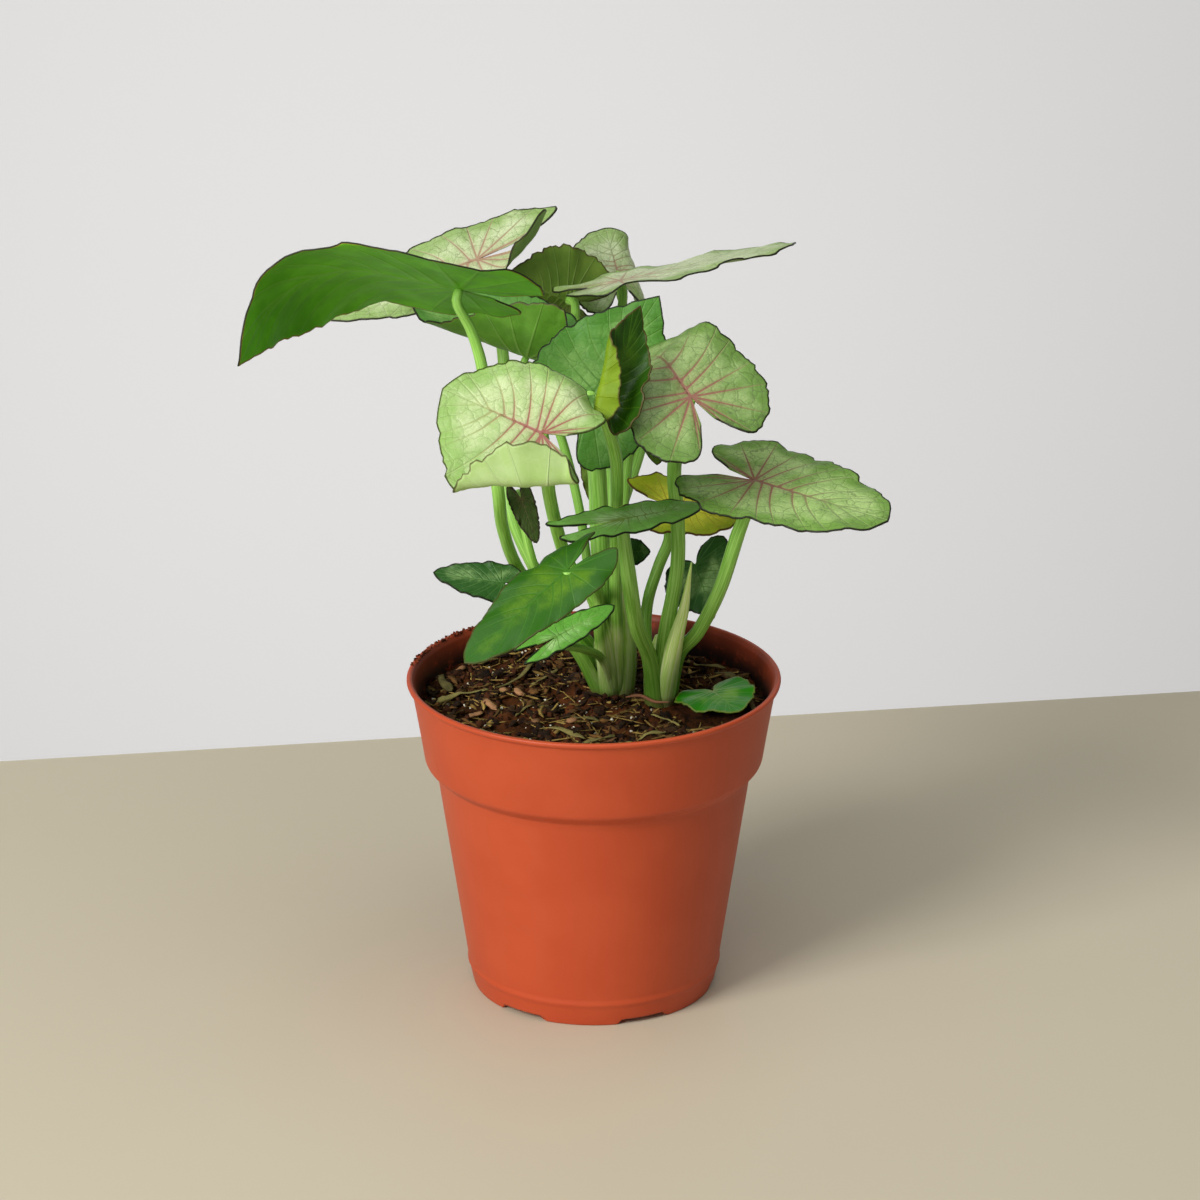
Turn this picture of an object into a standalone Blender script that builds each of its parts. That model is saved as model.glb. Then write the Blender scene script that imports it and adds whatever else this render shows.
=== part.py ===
# Arrowhead plant (Syngonium) growing in a thin plastic nursery pot.
# Run with: blender --background --python part.py
# The origin is the middle of the pot's foot, +Z is up and -Y is the front.
# Lengths below are in millimetres and are turned to metres where a mesh is made.

import math

import bpy
import bmesh
import numpy as np

MM = 0.001
CLEARANCE = 0.3

# Pot: a vacuum-thin nursery pot with a wide collar above a tapered body.
RIM_RADIUS = 52.5
POT_HEIGHT = 92.0
WALL = 1.15
FOOT_RADIUS = 34.3
FLOOR_LIFT = 1.5
FLOOR_TOP = FLOOR_LIFT + 1.3
NOTCHES = 6
NOTCH_WIDTH = 14.5
FIRST_NOTCH_DEG = 24.0
DRAIN_RADIUS = 3.0
DRAIN_RING = 21.0
TURN_STEPS = 40

# Soil: its mean level, and the two places where shoots come out of it.
SOIL_LEVEL = 84.0
SOIL_BUMP = 0.9
LEFT_CROWN = (6.0, 8.5)
RIGHT_CROWN = (18.7, 2.0)
CROWN_FOOT = 66.0
LEFT_HOLE_RADIUS = 7.4
RIGHT_HOLE_RADIUS = 6.9
HOLE_FLOOR = CROWN_FOOT - CLEARANCE

BLADE_THICKNESS = 0.8
SINUS_GAP = 1.1
STALK_SIDES = 2
STALK_STEP = 12.0

# The outline of a flat blade, as shares of its length and half width from the tip to the stalk.
FRONT_OUTLINE = ((1.00, 0.0), (0.93, 0.10), (0.76, 0.36), (0.52, 0.72), (0.26, 0.95), (0.0, 1.0))
# The outline of a rear lobe, as shares of the lobe's length and the half width.
REAR_OUTLINE = ((-0.38, 0.99), (-0.76, 0.83), (-1.0, 0.52), (-0.93, 0.30), (-0.50, 0.09))

LEAF_GREEN = (0.36, 0.56, 0.24)
BRIGHT_GREEN = (0.55, 0.70, 0.38)
DARK_GREEN = (0.10, 0.24, 0.06)
STALK_GREEN = (0.20, 0.40, 0.10)


def leaf(at, heading, pitch, roll, length, half_width, lobe, fullness, bends, colour=LEAF_GREEN, size=1,
         left_share=1.0, wave=0.8):
    """One leaf: where its stalk joins, how it is turned in degrees, its sizes and its bends.
    left_share is how much wider and longer its left lobe is than the right one.
    """
    return {
        "at": np.array(at), "turn": (heading, pitch, roll), "length": length, "half_width": half_width,
        "lobe": lobe, "fullness": fullness, "bends": bends, "colour": colour, "size": size,
        "left_share": left_share, "wave": wave,
    }


# Each bend is a line on the flat blade and how far the blade past it is rolled up:
# (x and y of a point on the line, direction of the rolled part, roll radius, turn in degrees).
LEAVES = {
    "leaf_right_round": leaf((26, -29.5, 183), 132, 38, -19, 39, 20.5, 17, 0.3,
                    [(10.5, -1.5, 12, 7, -61)], LEAF_GREEN, 2),
    "leaf_right_low": leaf((44, -12, 153.5), -31, -6, 10, 41.5, 20, 18.5, 0.9, [], LEAF_GREEN, 1),
    "leaf_bright": leaf((-13.5, -54.5, 181), 157, 17, -48, 30, 19.5, 12.5, 0.5,
                    [(0, 14.5, 117, 2.6, 150), (-1, -9, -115, 7, -60), (-9, -4, 190, 10, 60)],
                    BRIGHT_GREEN, 2, 1.5),
    "leaf_upper_left": leaf((-36, -14, 208.5), 187, 14, 26, 78.5, 33.5, 20, 0.0,
                    [(23, -0.5, -31, 22, -91)], DARK_GREEN, 2),
    "leaf_upper_back": leaf((-33, 53, 197.5), -169, -17, -38, 47.5, 12, 27, 0.7,
                    [(0, 6, 124, 6.5, 89)], LEAF_GREEN, 2),
    "leaf_left_bowl": leaf((-19, 23.5, 177), 149, 21, -3, 41.5, 19, 21, 0.5,
                    [(1.5, -3.5, 115, 7.5, 101), (0, 0, -85, 8, 40)], LEAF_GREEN, 2),
    "leaf_top_olive": leaf((-7, 58, 183), -144, 24, 36, 24, 15.5, 14, 0.0,
                    [(-0.5, -3, 85, 3.5, 74)], DARK_GREEN, 1),
    "leaf_top_back": leaf((7, 83, 184.5), 108, 42, -3, 16, 16, 12, 0.8,
                    [(0, -1.5, -90, 5, -85)], LEAF_GREEN, 1),
    "leaf_right_long": leaf((7.5, 40, 195), 13, 9, -13, 51.5, 23, 17.5, 1.0, [], LEAF_GREEN, 1),
    "leaf_centre_dark": leaf((-1, 0, 173.5), 31, 49, 52, 34, 18.5, 17, 0.1, [], DARK_GREEN, 1),
    "leaf_rolled_young": leaf((3.5, -39, 184.5), 56, 55, 64, 28, 11.5, 7.5, 0.1,
                    [(0, 2.5, 97, 1.8, 140), (0, -2.5, -95, 3, 85)], BRIGHT_GREEN, 1),
    "leaf_mid_saddle": leaf((8.5, -22.5, 146), 30, 0, 12, 24, 7, 22.5, 1.0, [], DARK_GREEN, 1),
    "leaf_hidden_right": leaf((13, 13.5, 170), 63, -66, 1, 26, 7.5, 10, 0.5, [], DARK_GREEN, 1),
    "leaf_olive_back": leaf((4.5, 43, 149.5), 100, -74, 14, 28.5, 9, 9, 1.0, [], DARK_GREEN, 1),
    "leaf_yellowing": leaf((21, 8, 139.5), -7, -12, 27, 19.5, 10.5, 13, 0.7, [], LEAF_GREEN, 1),
    "leaf_small_right": leaf((29, 24, 116), -72, -35, 52, 18.5, 12, 5, 0.0, [], DARK_GREEN, 0),
    "leaf_small_left": leaf((-25.5, 1, 119), 174, 7, -35, 19.5, 6.5, 5, 0.6, [], DARK_GREEN, 0),
    "leaf_low_convex": leaf((-7, -48.5, 140.5), -150, -33, -28, 37.5, 10, 13.5, 0.7,
                    [(-0.5, 5, 98, 10, -40), (-0.5, -4, -103, 4.5, -61)], DARK_GREEN, 1),
    "leaf_low_variegated": leaf((-10, -20, 111), 29, 18, 32, 19, 4.5, 12.5, 0.8, [], DARK_GREEN, 0),
    "leaf_withered": leaf((-20, -9, 147.5), -18, -70, 61, 13.5, 3.5, 4.5, 0.7, [], DARK_GREEN, 0),
    "leaf_small_back": leaf((11, 20, 121.5), 0, 1, 50, 5, 4, 3.5, 0.3, [], DARK_GREEN, 0),
}
FALLEN_LEAF = leaf((33.5, 0, 83), -62, -4, 5, 15, 11.5, 4.5, 0.4, [], BRIGHT_GREEN, 0)

# Leaf stalks: the points that each passes on its way up from its crown, and its mean radius.
LEFT_STALKS = {
    "leaf_upper_left": ([(-2, 9, 93), (-11, 10, 105), (-21, 12, 119), (-25, -2, 136),
                         (-26, -16, 152), (-28, -15, 169), (-30, -14, 186), (-33, -14, 197)], 1.8),
    "leaf_upper_back": ([(0, 13, 93), (-8, 16, 103), (-17, 20, 117), (-23, 24, 130),
                         (-25, 30, 140), (-25, 39, 155), (-26, 48, 173), (-30, 53, 189)], 1.7),
    "leaf_left_bowl": ([(2, 12, 98), (-1, 14, 114), (-4, 17, 135), (-9, 20, 155),
                        (-15, 22, 169)], 1.3),
    "leaf_top_olive": ([(4, 18, 96), (1, 24, 118), (0, 30, 140), (-2, 38, 161),
                        (-5, 48, 176)], 1.7),
    "leaf_top_back": ([(6, 17, 101), (5, 25, 121), (13, 35, 146), (17, 51, 158),
                       (12, 75, 167)], 1.5),
    "leaf_right_long": ([(7, 11, 98), (6, 13, 122), (5, 20, 143), (6, 27, 164),
                         (7, 35, 180)], 1.7),
    "leaf_centre_dark": ([(3, 4, 107), (2, 2, 132), (1, 0, 153)], 2.4),
    "leaf_rolled_young": ([(6, 0, 109), (6, -6, 134), (6, -22, 163)], 1.8),
    "leaf_bright": ([(3, 0, 102), (0, -2, 115), (-6, -5, 125), (-9, -9, 134),
                     (-12, -33, 157)], 1.9),
    "leaf_hidden_right": ([(9, 12, 104), (8, 15, 127), (10, 18, 153)], 1.4),
    "leaf_olive_back": ([(6, 20, 99), (5, 31, 120), (5, 40, 137)], 1.4),
    "leaf_low_convex": ([(2, -2, 104), (1, -6, 119), (-2, -27, 131)], 1.8),
    "leaf_small_left": ([(-2, 2, 95), (-9, 0, 106), (-18, 0, 114)], 1.2),
    "leaf_low_variegated": ([(3, -2, 96), (-2, -12, 104)], 1.2),
    "leaf_withered": ([(-6, 2, 102), (-14, -3, 119), (-18, -7, 133)], 1.2),
    "leaf_small_back": ([(10, 18, 99), (10, 21, 113)], 1.1),
}
RIGHT_STALKS = {
    "leaf_mid_saddle": ([(16, -4, 97), (12, -12, 111), (10, -18, 125)], 2.2),
    "leaf_right_round": ([(20, -3, 104), (23, -4, 125), (23, -5, 140),
                          (22, -6, 155), (24, -15, 171)], 2.1),
    "leaf_right_low": ([(23, 0, 97), (29, -3, 106), (35, -6, 120), (40, -9, 138)], 2.0),
    "leaf_yellowing": ([(15, 5, 98), (15, 8, 110), (18, 11, 120), (21, 12, 128)], 1.6),
    "leaf_small_right": ([(20, 9, 94), (25, 24, 100), (29, 31, 107)], 1.2),
}
# The next leaf, still furled in its pale sheath beside the right crown.
BUD_ROUTE = [(22, -5, 101), (25, -6, 114), (27, -7, 128)]
BUD_RADIUS = 2.2


def clear_scene():
    for thing in list(bpy.data.objects):
        bpy.data.objects.remove(thing)


def new_collection(name):
    group = bpy.data.collections.new(name)
    bpy.context.scene.collection.children.link(group)
    return group


def plain_material(name, colour, roughness):
    material = bpy.data.materials.new(name)
    material.use_nodes = True
    shader = material.node_tree.nodes["Principled BSDF"]
    shader.inputs["Base Color"].default_value = (*colour, 1.0)
    shader.inputs["Roughness"].default_value = roughness
    shader.inputs["Metallic"].default_value = 0.0
    return material


def add_object(name, data, group, material=None):
    thing = bpy.data.objects.new(name, data)
    group.objects.link(thing)
    if material is not None:
        thing.data.materials.append(material)
    return thing


def finished_mesh(thing):
    """The mesh of an object after its modifiers, welded where caps or poles meet."""
    bpy.context.view_layer.update()
    depsgraph = bpy.context.evaluated_depsgraph_get()
    mesh = bpy.data.meshes.new_from_object(thing.evaluated_get(depsgraph))
    shape = bmesh.new()
    shape.from_mesh(mesh)
    bmesh.ops.remove_doubles(shape, verts=shape.verts, dist=0.00001)
    shape.to_mesh(mesh)
    shape.free()
    return mesh


def turned(name, profile, group):
    """A profile of (radius, height) points turned round the pot's axis."""
    mesh = bpy.data.meshes.new(name)
    points = [(radius * MM, 0.0, height * MM) for radius, height in profile]
    mesh.from_pydata(points, [(k, k + 1) for k in range(len(points) - 1)], [])
    thing = add_object(name, mesh, group)
    screw = thing.modifiers.new("turn", "SCREW")
    screw.steps = screw.render_steps = TURN_STEPS
    screw.use_merge_vertices = True
    screw.merge_threshold = 0.00001
    return thing


# Points (radius, height) of the pot's outside, from the rim to the foot.
COLLAR_TO_FOOT = [
    (50.6, 87.0), (49.0, 77.5), (47.6, 68.6), (47.2, 67.7), (44.5, 65.2), (44.0, 63.0),
    (38.3, 24.4), (35.9, 8.2), (36.1, 6.8), (35.6, 5.6), (34.9, 2.4), (FOOT_RADIUS, 0.0),
]
# Points of its inside, from the floor to the collar.
FLOOR_TO_COLLAR = [(FOOT_RADIUS - 0.7, FLOOR_TOP)]
FLOOR_TO_COLLAR += [(radius - WALL, height) for radius, height in COLLAR_TO_FOOT[::-1] if height > 8.0]


def add_pot(group, cutters):
    """The pot: turned wall, drain holes in its floor and notches under its foot."""
    profile = [(0.0, FLOOR_TOP)] + FLOOR_TO_COLLAR
    profile += [(50.2, 90.6), (51.0, POT_HEIGHT), (52.1, POT_HEIGHT), (RIM_RADIUS, 91.5)]
    profile += [(52.2, 90.6), (51.2, 90.2)]
    profile += COLLAR_TO_FOOT
    profile += [(29.5, 0.0), (28.7, FLOOR_LIFT), (11.5, FLOOR_LIFT), (10.0, 0.0), (0.0, 0.0)]
    pot = turned("pot", profile, group)
    pot.data.materials.append(plain_material("terracotta plastic", (0.60, 0.13, 0.05), 0.45))
    for k in range(NOTCHES):
        angle = math.radians(FIRST_NOTCH_DEG - 90.0 + 360.0 / NOTCHES * k)
        place = ((FOOT_RADIUS - 2.0) * math.cos(angle) * MM, (FOOT_RADIUS - 2.0) * math.sin(angle) * MM, 0.0)
        bpy.ops.mesh.primitive_cube_add(size=1.0, location=place, rotation=(0.0, 0.0, angle))
        notch = bpy.context.object
        notch.name = "notch_%d" % k
        notch.scale = (10.0 * MM, NOTCH_WIDTH * MM, 2.0 * FLOOR_LIFT * MM)
        cut_with(pot, notch, cutters)
        drain_angle = angle + math.pi / NOTCHES
        ring = DRAIN_RING * MM
        place = (ring * math.cos(drain_angle), ring * math.sin(drain_angle), FLOOR_TOP * MM)
        bpy.ops.mesh.primitive_cylinder_add(
            vertices=12, radius=DRAIN_RADIUS * MM, depth=6 * MM, location=place)
        drain = bpy.context.object
        drain.name = "drain_%d" % k
        cut_with(pot, drain, cutters)
    return pot


def cut_with(thing, cutter, cutters):
    for home in list(cutter.users_collection):
        home.objects.unlink(cutter)
    cutters.objects.link(cutter)
    cutter.hide_render = True
    cutter.display_type = "WIRE"
    cut = thing.modifiers.new(cutter.name, "BOOLEAN")
    cut.operation = "DIFFERENCE"
    cut.solver = "EXACT"
    cut.object = cutter


def soil_height(x, y):
    """Height of the loose soil at a place: its level and a few crossing ripples."""
    ripple = np.sin(0.21 * x + 0.13 * y + 0.6) + 0.7 * np.sin(0.34 * y - 0.17 * x + 2.1)
    ripple += 0.6 * np.sin(0.47 * x + 1.0) * np.sin(0.43 * y + 0.4)
    to_crown = np.minimum(
        np.hypot(x - LEFT_CROWN[0], y - LEFT_CROWN[1]), np.hypot(x - RIGHT_CROWN[0], y - RIGHT_CROWN[1])
    )
    open_ground = np.clip((to_crown - 6.0) / 6.0, 0.0, 1.0)
    return SOIL_LEVEL + SOIL_BUMP * ripple * open_ground


def add_soil(group, cutters):
    """The root ball: a plug a little smaller than the pot, with a rippled top."""
    wall = [(radius - CLEARANCE, height) for radius, height in FLOOR_TO_COLLAR if height < SOIL_LEVEL]
    wall[0] = (wall[0][0], FLOOR_TOP + CLEARANCE)
    edge_radius = 48.5 - CLEARANCE
    top = [(edge_radius * k / 8.0, SOIL_LEVEL) for k in range(9)]
    profile = top + wall[::-1] + [(0.0, FLOOR_TOP + CLEARANCE)]
    plug = turned("soil_profile", profile, group)
    mesh = finished_mesh(plug)
    bpy.data.objects.remove(plug)
    points = np.empty(len(mesh.vertices) * 3)
    mesh.vertices.foreach_get("co", points)
    points = points.reshape(-1, 3)
    on_top = points[:, 2] > (SOIL_LEVEL - 0.01) * MM
    points[on_top, 2] = soil_height(points[on_top, 0] / MM, points[on_top, 1] / MM) * MM
    mesh.vertices.foreach_set("co", points.ravel())
    soil = add_object("soil", mesh, group, plain_material("potting soil", (0.04, 0.02, 0.01), 0.95))
    for name, (x, y), radius in (("left_hole", LEFT_CROWN, LEFT_HOLE_RADIUS),
                                 ("right_hole", RIGHT_CROWN, RIGHT_HOLE_RADIUS)):
        bpy.ops.mesh.primitive_cylinder_add(
            vertices=16, radius=radius * MM, depth=40 * MM,
            location=(x * MM, y * MM, (HOLE_FLOOR + 20) * MM))
        hole = bpy.context.object
        hole.name = name
        cut_with(soil, hole, cutters)
    return soil


def smooth_curve(points, count):
    """A Catmull-Rom curve through the points, read at even steps along its length."""
    p = np.array(points, float)
    p = np.vstack([2 * p[0] - p[1], p, 2 * p[-1] - p[-2]])
    t = np.linspace(0.0, 1.0, 17)[:-1, None]
    pieces = []
    for k in range(1, len(p) - 2):
        a, b, c, d = p[k - 1:k + 3]
        pieces.append(0.5 * (2 * b + (c - a) * t + (2 * a - 5 * b + 4 * c - d) * t**2
                             + (3 * b - a - 3 * c + d) * t**3))
    line = np.vstack(pieces + [p[-2][None]])
    along = np.concatenate([[0.0], np.cumsum(np.linalg.norm(np.diff(line, axis=0), axis=1))])
    wanted = np.linspace(0.0, along[-1], count)
    return np.stack([np.interp(wanted, along, line[:, k]) for k in range(p.shape[1])], axis=1)


def add_stalk(name, route, radii, group):
    """A round stem along a route, its radius read evenly from the list of radii."""
    length = np.linalg.norm(np.diff(np.array(route, float), axis=0), axis=1).sum()
    count = max(5, int(length / STALK_STEP) + 2)
    line = np.vstack([smooth_curve(route[:-1], count - 1), route[-1]])
    widths = np.interp(np.linspace(0, 1, count), np.linspace(0, 1, len(radii)), radii)
    data = bpy.data.curves.new(name, "CURVE")
    data.dimensions = "3D"
    data.bevel_depth = MM
    data.bevel_resolution = STALK_SIDES
    data.use_fill_caps = True
    spline = data.splines.new("POLY")
    spline.points.add(count - 1)
    for point, place, width in zip(spline.points, line, widths):
        point.co = (*(place * MM), 1.0)
        point.radius = width
    guide = add_object(name + "_curve", data, group)
    mesh = finished_mesh(guide)
    bpy.data.objects.remove(guide)
    return add_object(name, mesh, group)


def leaf_axes(form):
    """Unit vectors of a leaf: towards its tip, towards its left side, and out of its top face."""
    heading, pitch, roll = np.radians(form["turn"])
    tip = np.array([math.cos(heading) * math.cos(pitch), math.sin(heading) * math.cos(pitch), math.sin(pitch)])
    level_left = np.array([-math.sin(heading), math.cos(heading), 0.0])
    level_up = np.cross(tip, level_left)
    left = level_left * math.cos(roll) + level_up * math.sin(roll)
    up = level_up * math.cos(roll) - level_left * math.sin(roll)
    return np.stack([tip, left, up])


def add_shoot(name, crown, heights_and_radii, stalks, extras, group):
    """A crown with all its leaf stalks, joined into one body by one Boolean union."""
    x, y = crown
    parts = new_collection(name + "_parts")
    core = add_stalk(name, [(x, y, height) for height, _ in heights_and_radii],
                     [radius for _, radius in heights_and_radii], group)
    for leaf_name, (points, radius) in stalks.items():
        form = LEAVES[leaf_name]
        joint, under = stalk_joint(form)
        seat = joint + under * (BLADE_THICKNESS / 2 + CLEARANCE)
        start = (x + 0.1 * (points[0][0] - x), y + 0.1 * (points[0][1] - y), SOIL_LEVEL - 8.0)
        route = [start] + points + [joint + under * 4.0, seat]
        radii = [radius * 1.15, radius * 1.2, radius, radius * 0.9, radius * 0.7]
        add_stalk(leaf_name + "_stalk", route, radii, parts)
    for extra_name, points, radii in extras:
        add_stalk(extra_name, [(x, y, SOIL_LEVEL - 8.0)] + points, radii, parts)
    join = core.modifiers.new("join", "BOOLEAN")
    join.operation = "UNION"
    join.operand_type = "COLLECTION"
    join.collection = parts
    join.solver = "EXACT"
    mesh = finished_mesh(core)
    core.modifiers.remove(join)
    core.data = mesh
    core.data.materials.clear()
    core.data.materials.append(plain_material(name + " green", STALK_GREEN, 0.45))
    for part in list(parts.objects):
        bpy.data.objects.remove(part)
    bpy.data.collections.remove(parts)
    return core


def roll_up(points, bend):
    """Rolls what lies past a line on the blade round a cylinder that lies along the line."""
    line_x, line_y, direction, radius, turn = bend
    along = np.array([math.cos(math.radians(direction)), math.sin(math.radians(direction))])
    across = np.array([-along[1], along[0]])
    sign = math.copysign(1.0, turn)
    full_turn = math.radians(abs(turn))
    flat = points[..., :2] - np.array([line_x, line_y])
    reach = flat @ along
    side = flat @ across
    height = points[..., 2] * sign
    angle = np.clip(reach / radius, 0.0, full_turn)
    past = np.maximum(reach - radius * full_turn, 0.0)
    new_reach = np.minimum(reach, 0.0) + (radius - height) * np.sin(angle) + past * np.cos(angle)
    new_height = (radius - (radius - height) * np.cos(angle) + past * np.sin(angle)) * sign
    moved = np.array([line_x, line_y]) + new_reach[..., None] * along + side[..., None] * across
    return np.concatenate([moved, new_height[..., None]], axis=-1)


def stalk_joint(form):
    """Where a stalk meets the bent blade, and the direction straight out of its lower face there."""
    pair = np.array([[0.0, 0.0, 0.0], [0.0, 0.0, -1.0]])
    for bend in form["bends"]:
        pair = roll_up(pair, bend)
    joint, below = pair @ leaf_axes(form) + form["at"]
    return joint, (below - joint) / np.linalg.norm(below - joint)


def blade_points(form, rays, rings):
    """Points of a blade: two halves, each a fan of rays from the midrib to the waved margin."""
    length, half_width, lobe, full = form["length"], form["half_width"], form["lobe"], form["fullness"]
    front = [(u * length, (v + 1.2 * full * u * math.sqrt(1.0 - u) * (1.0 - v)) * half_width)
             for u, v in FRONT_OUTLINE]
    rear = [(u * lobe, v * half_width + SINUS_GAP * u * u * (1.0 - v)) for u, v in REAR_OUTLINE]
    edge = smooth_curve(front + rear, rays)
    s = np.linspace(0.0, 1.0, rays)
    root = 0.72 * length * np.clip(1.0 - s / 0.5, 0.0, 1.0) ** 1.15
    root = np.stack([root, 0.0 * root], axis=1)
    t = np.linspace(0.0, 1.0, rings + 1)
    half = root[:, None] * (1.0 - t[None, :, None]) + edge[:, None] * t[None, :, None]
    halves = []
    for side in (form["left_share"], -1.0):
        phase = 0.05 * form["turn"][0] + (1.3 if side > 0 else 0.0)
        ripple = np.sin(7.0 * math.pi * s + phase) * np.sin(math.pi * s)
        height = form["wave"] * min(1.0, half_width / 14.0) * ripple[:, None] * t[None, :] ** 2.5
        behind = np.where(half[..., :1] < 0.0, abs(side), 1.0)
        flat = half * np.concatenate([behind, np.full_like(behind, side)], axis=-1)
        halves.append(np.concatenate([flat, height[..., None]], axis=-1))
    points = np.array(halves)
    for bend in form["bends"]:
        points = roll_up(points, bend)
    return points @ leaf_axes(form) + form["at"]


def add_blade(name, form, group):
    """A leaf blade: a sheet of triangles, alike on both faces, made solid by Solidify."""
    rays, rings = ((11, 3), (13, 4), (16, 5))[form["size"]]
    points = blade_points(form, rays, rings)
    if name == "leaf_fallen":
        clear = points[..., 2] - soil_height(points[..., 0], points[..., 1])
        points[..., 2] += CLEARANCE + BLADE_THICKNESS / 2 + 0.15 - clear.min()
    index = np.arange(points[..., 0].size).reshape(points.shape[:3])
    left, right = index
    faces = []
    for half, order in ((left, 1), (right, -1)):
        quads = np.stack([half[:-1, :-1], half[:-1, 1:], half[1:, 1:], half[1:, :-1]], axis=-1).reshape(-1, 4)
        faces += [tuple(int(v) for v in quad[::order]) for quad in quads]
    mesh = bpy.data.meshes.new(name)
    mesh.from_pydata((points.reshape(-1, 3) * MM).tolist(), [], faces)
    shape = bmesh.new()
    shape.from_mesh(mesh)
    bmesh.ops.remove_doubles(shape, verts=shape.verts, dist=0.00001)
    bmesh.ops.dissolve_degenerate(shape, edges=shape.edges, dist=0.00001)
    shape.to_mesh(mesh)
    shape.free()
    mesh.validate()
    blade = add_object(name, mesh, group, plain_material(name + " green", form["colour"], 0.5))
    split = blade.modifiers.new("triangles", "TRIANGULATE")
    split.quad_method = "FIXED"
    thick = blade.modifiers.new("thickness", "SOLIDIFY")
    thick.thickness = BLADE_THICKNESS * MM
    thick.offset = 0.0
    return blade


def build():
    clear_scene()
    plant = new_collection("arrowhead_plant")
    cutters = new_collection("cutters")
    add_pot(plant, cutters)
    add_soil(plant, cutters)
    left_core = [(CROWN_FOOT, 6.4), (84, 6.4), (92, 6.0), (102, 5.0), (112, 3.4), (119, 2.0)]
    right_core = [(CROWN_FOOT, 4.4), (85, 4.4), (91, 4.7), (97, 4.0), (103, 2.4)]
    add_shoot("left_shoot", LEFT_CROWN, left_core, LEFT_STALKS, [], plant)
    add_shoot("right_shoot", RIGHT_CROWN, right_core, RIGHT_STALKS,
              [("bud", BUD_ROUTE, [BUD_RADIUS, BUD_RADIUS * 1.2, BUD_RADIUS, 0.5])], plant)
    for name, form in LEAVES.items():
        add_blade(name, form, plant)
    add_blade("leaf_fallen", FALLEN_LEAF, plant)


build()
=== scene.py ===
import math

import bpy
import numpy as np
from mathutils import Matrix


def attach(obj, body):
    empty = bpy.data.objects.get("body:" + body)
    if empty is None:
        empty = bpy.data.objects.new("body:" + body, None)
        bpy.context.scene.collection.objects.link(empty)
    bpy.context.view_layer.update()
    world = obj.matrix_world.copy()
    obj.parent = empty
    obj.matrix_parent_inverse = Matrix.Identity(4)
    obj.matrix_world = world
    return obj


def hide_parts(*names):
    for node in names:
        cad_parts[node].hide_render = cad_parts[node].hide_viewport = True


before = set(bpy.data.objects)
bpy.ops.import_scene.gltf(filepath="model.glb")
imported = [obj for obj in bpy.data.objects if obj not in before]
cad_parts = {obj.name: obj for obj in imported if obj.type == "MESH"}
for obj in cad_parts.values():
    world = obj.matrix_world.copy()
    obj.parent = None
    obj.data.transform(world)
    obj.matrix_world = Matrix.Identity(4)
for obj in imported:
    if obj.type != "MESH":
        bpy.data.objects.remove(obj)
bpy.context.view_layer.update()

# Arrowhead plant in a nursery pot. Sizes are in millimetres, in the CAD frame: the origin is
# the middle of the pot's foot, +Z is up and -Y is the side that the photo shows.


# ---- The pot ----
# A thin nursery pot of terracotta-coloured polypropylene, injection moulded in one piece: a wide
# collar above a tapered body, a rolled lip, and a notched foot ring. The real pot has drain holes
# inside the ring, which this piece leaves out.

MM = 0.001  # one millimetre in the scene's metres
METRE = 1000.0  # a pattern on Object coordinates has METRE / size cells, with the size in mm
POT_STEPS = 192
WALL = 1.15
CORNER = 0.45
RIM_TOP = 92.0
FOOT_LIFT = 1.5
FLOOR_TOP = 2.8
FLOOR_EDGE = (33.6, FLOOR_TOP)
FLOOR_CORNER = 8.0  # above this height the inside runs along the outside
NOTCHES = 6
NOTCH_HALF_TURN = math.radians(12.4)
NOTCH_SLOPE = 0.03
NOTCHED_FROM = 20.0  # from this radius outwards the underside has its notches
FIRST_NOTCH = math.radians(24.0 - 90.0)
SOILED_FROM = 70.0
# Points of (radius, height) down the outside, round the lip and in under the foot.
POT_OUTSIDE = [
    (50.6, 87.0), (49.0, 77.5), (47.6, 68.6), (47.2, 67.7), (44.5, 65.2), (44.0, 63.0),
    (38.3, 24.4), (35.9, 8.2), (36.1, 6.8), (35.6, 5.6), (34.9, 2.4), (34.3, 0.0),
]
POT_LIP = [(50.2, 90.6), (51.0, RIM_TOP), (52.1, RIM_TOP), (52.5, 91.5), (52.2, 90.6),
           (51.2, 90.2)]
POT_UNDERSIDE = [(29.5, 0.0), (28.7, FOOT_LIFT), (11.5, FOOT_LIFT), (10.0, 0.0), (0.0, 0.0)]


def linear(code):
    """An sRGB hex colour as linear red, green and blue, with an alpha of one."""
    c = np.array([int(code[k:k + 2], 16) for k in (1, 3, 5)]) / 255.0
    c = np.where(c <= 0.04045, c / 12.92, ((c + 0.055) / 1.055) ** 2.4)
    return (float(c[0]), float(c[1]), float(c[2]), 1.0)


def add(tree, kind, inputs, output=0, **settings):
    """Adds one node and gives one of its outputs. An input takes another node's output, a hex
    colour or a plain value; the settings are the node's own, such as its operation."""
    node = tree.nodes.new("ShaderNode" + kind)
    for name, value in settings.items():
        setattr(node, name, value)
    for name, value in inputs.items():
        if isinstance(value, bpy.types.NodeSocket):
            tree.links.new(value, node.inputs[name])
        else:
            node.inputs[name].default_value = linear(value) if isinstance(value, str) else value
    return node.outputs[output]


def coated(tree, colour, coat, value, low, high, at_low=0.0, at_high=1.0, times=None):
    """A colour under a coat of another. The coat's strength goes smoothly from at_low to at_high
    while a value goes from low to high, and may be multiplied by a second strength."""
    strength = add(tree, "MapRange", {0: value, 1: low, 2: high, 3: at_low, 4: at_high},
                   interpolation_type="SMOOTHSTEP")
    if times is not None:
        strength = add(tree, "Math", {0: strength, 1: times}, operation="MULTIPLY")
    return add(tree, "Mix", {0: strength, 6: colour, 7: coat}, 2, data_type="RGBA")


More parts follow.
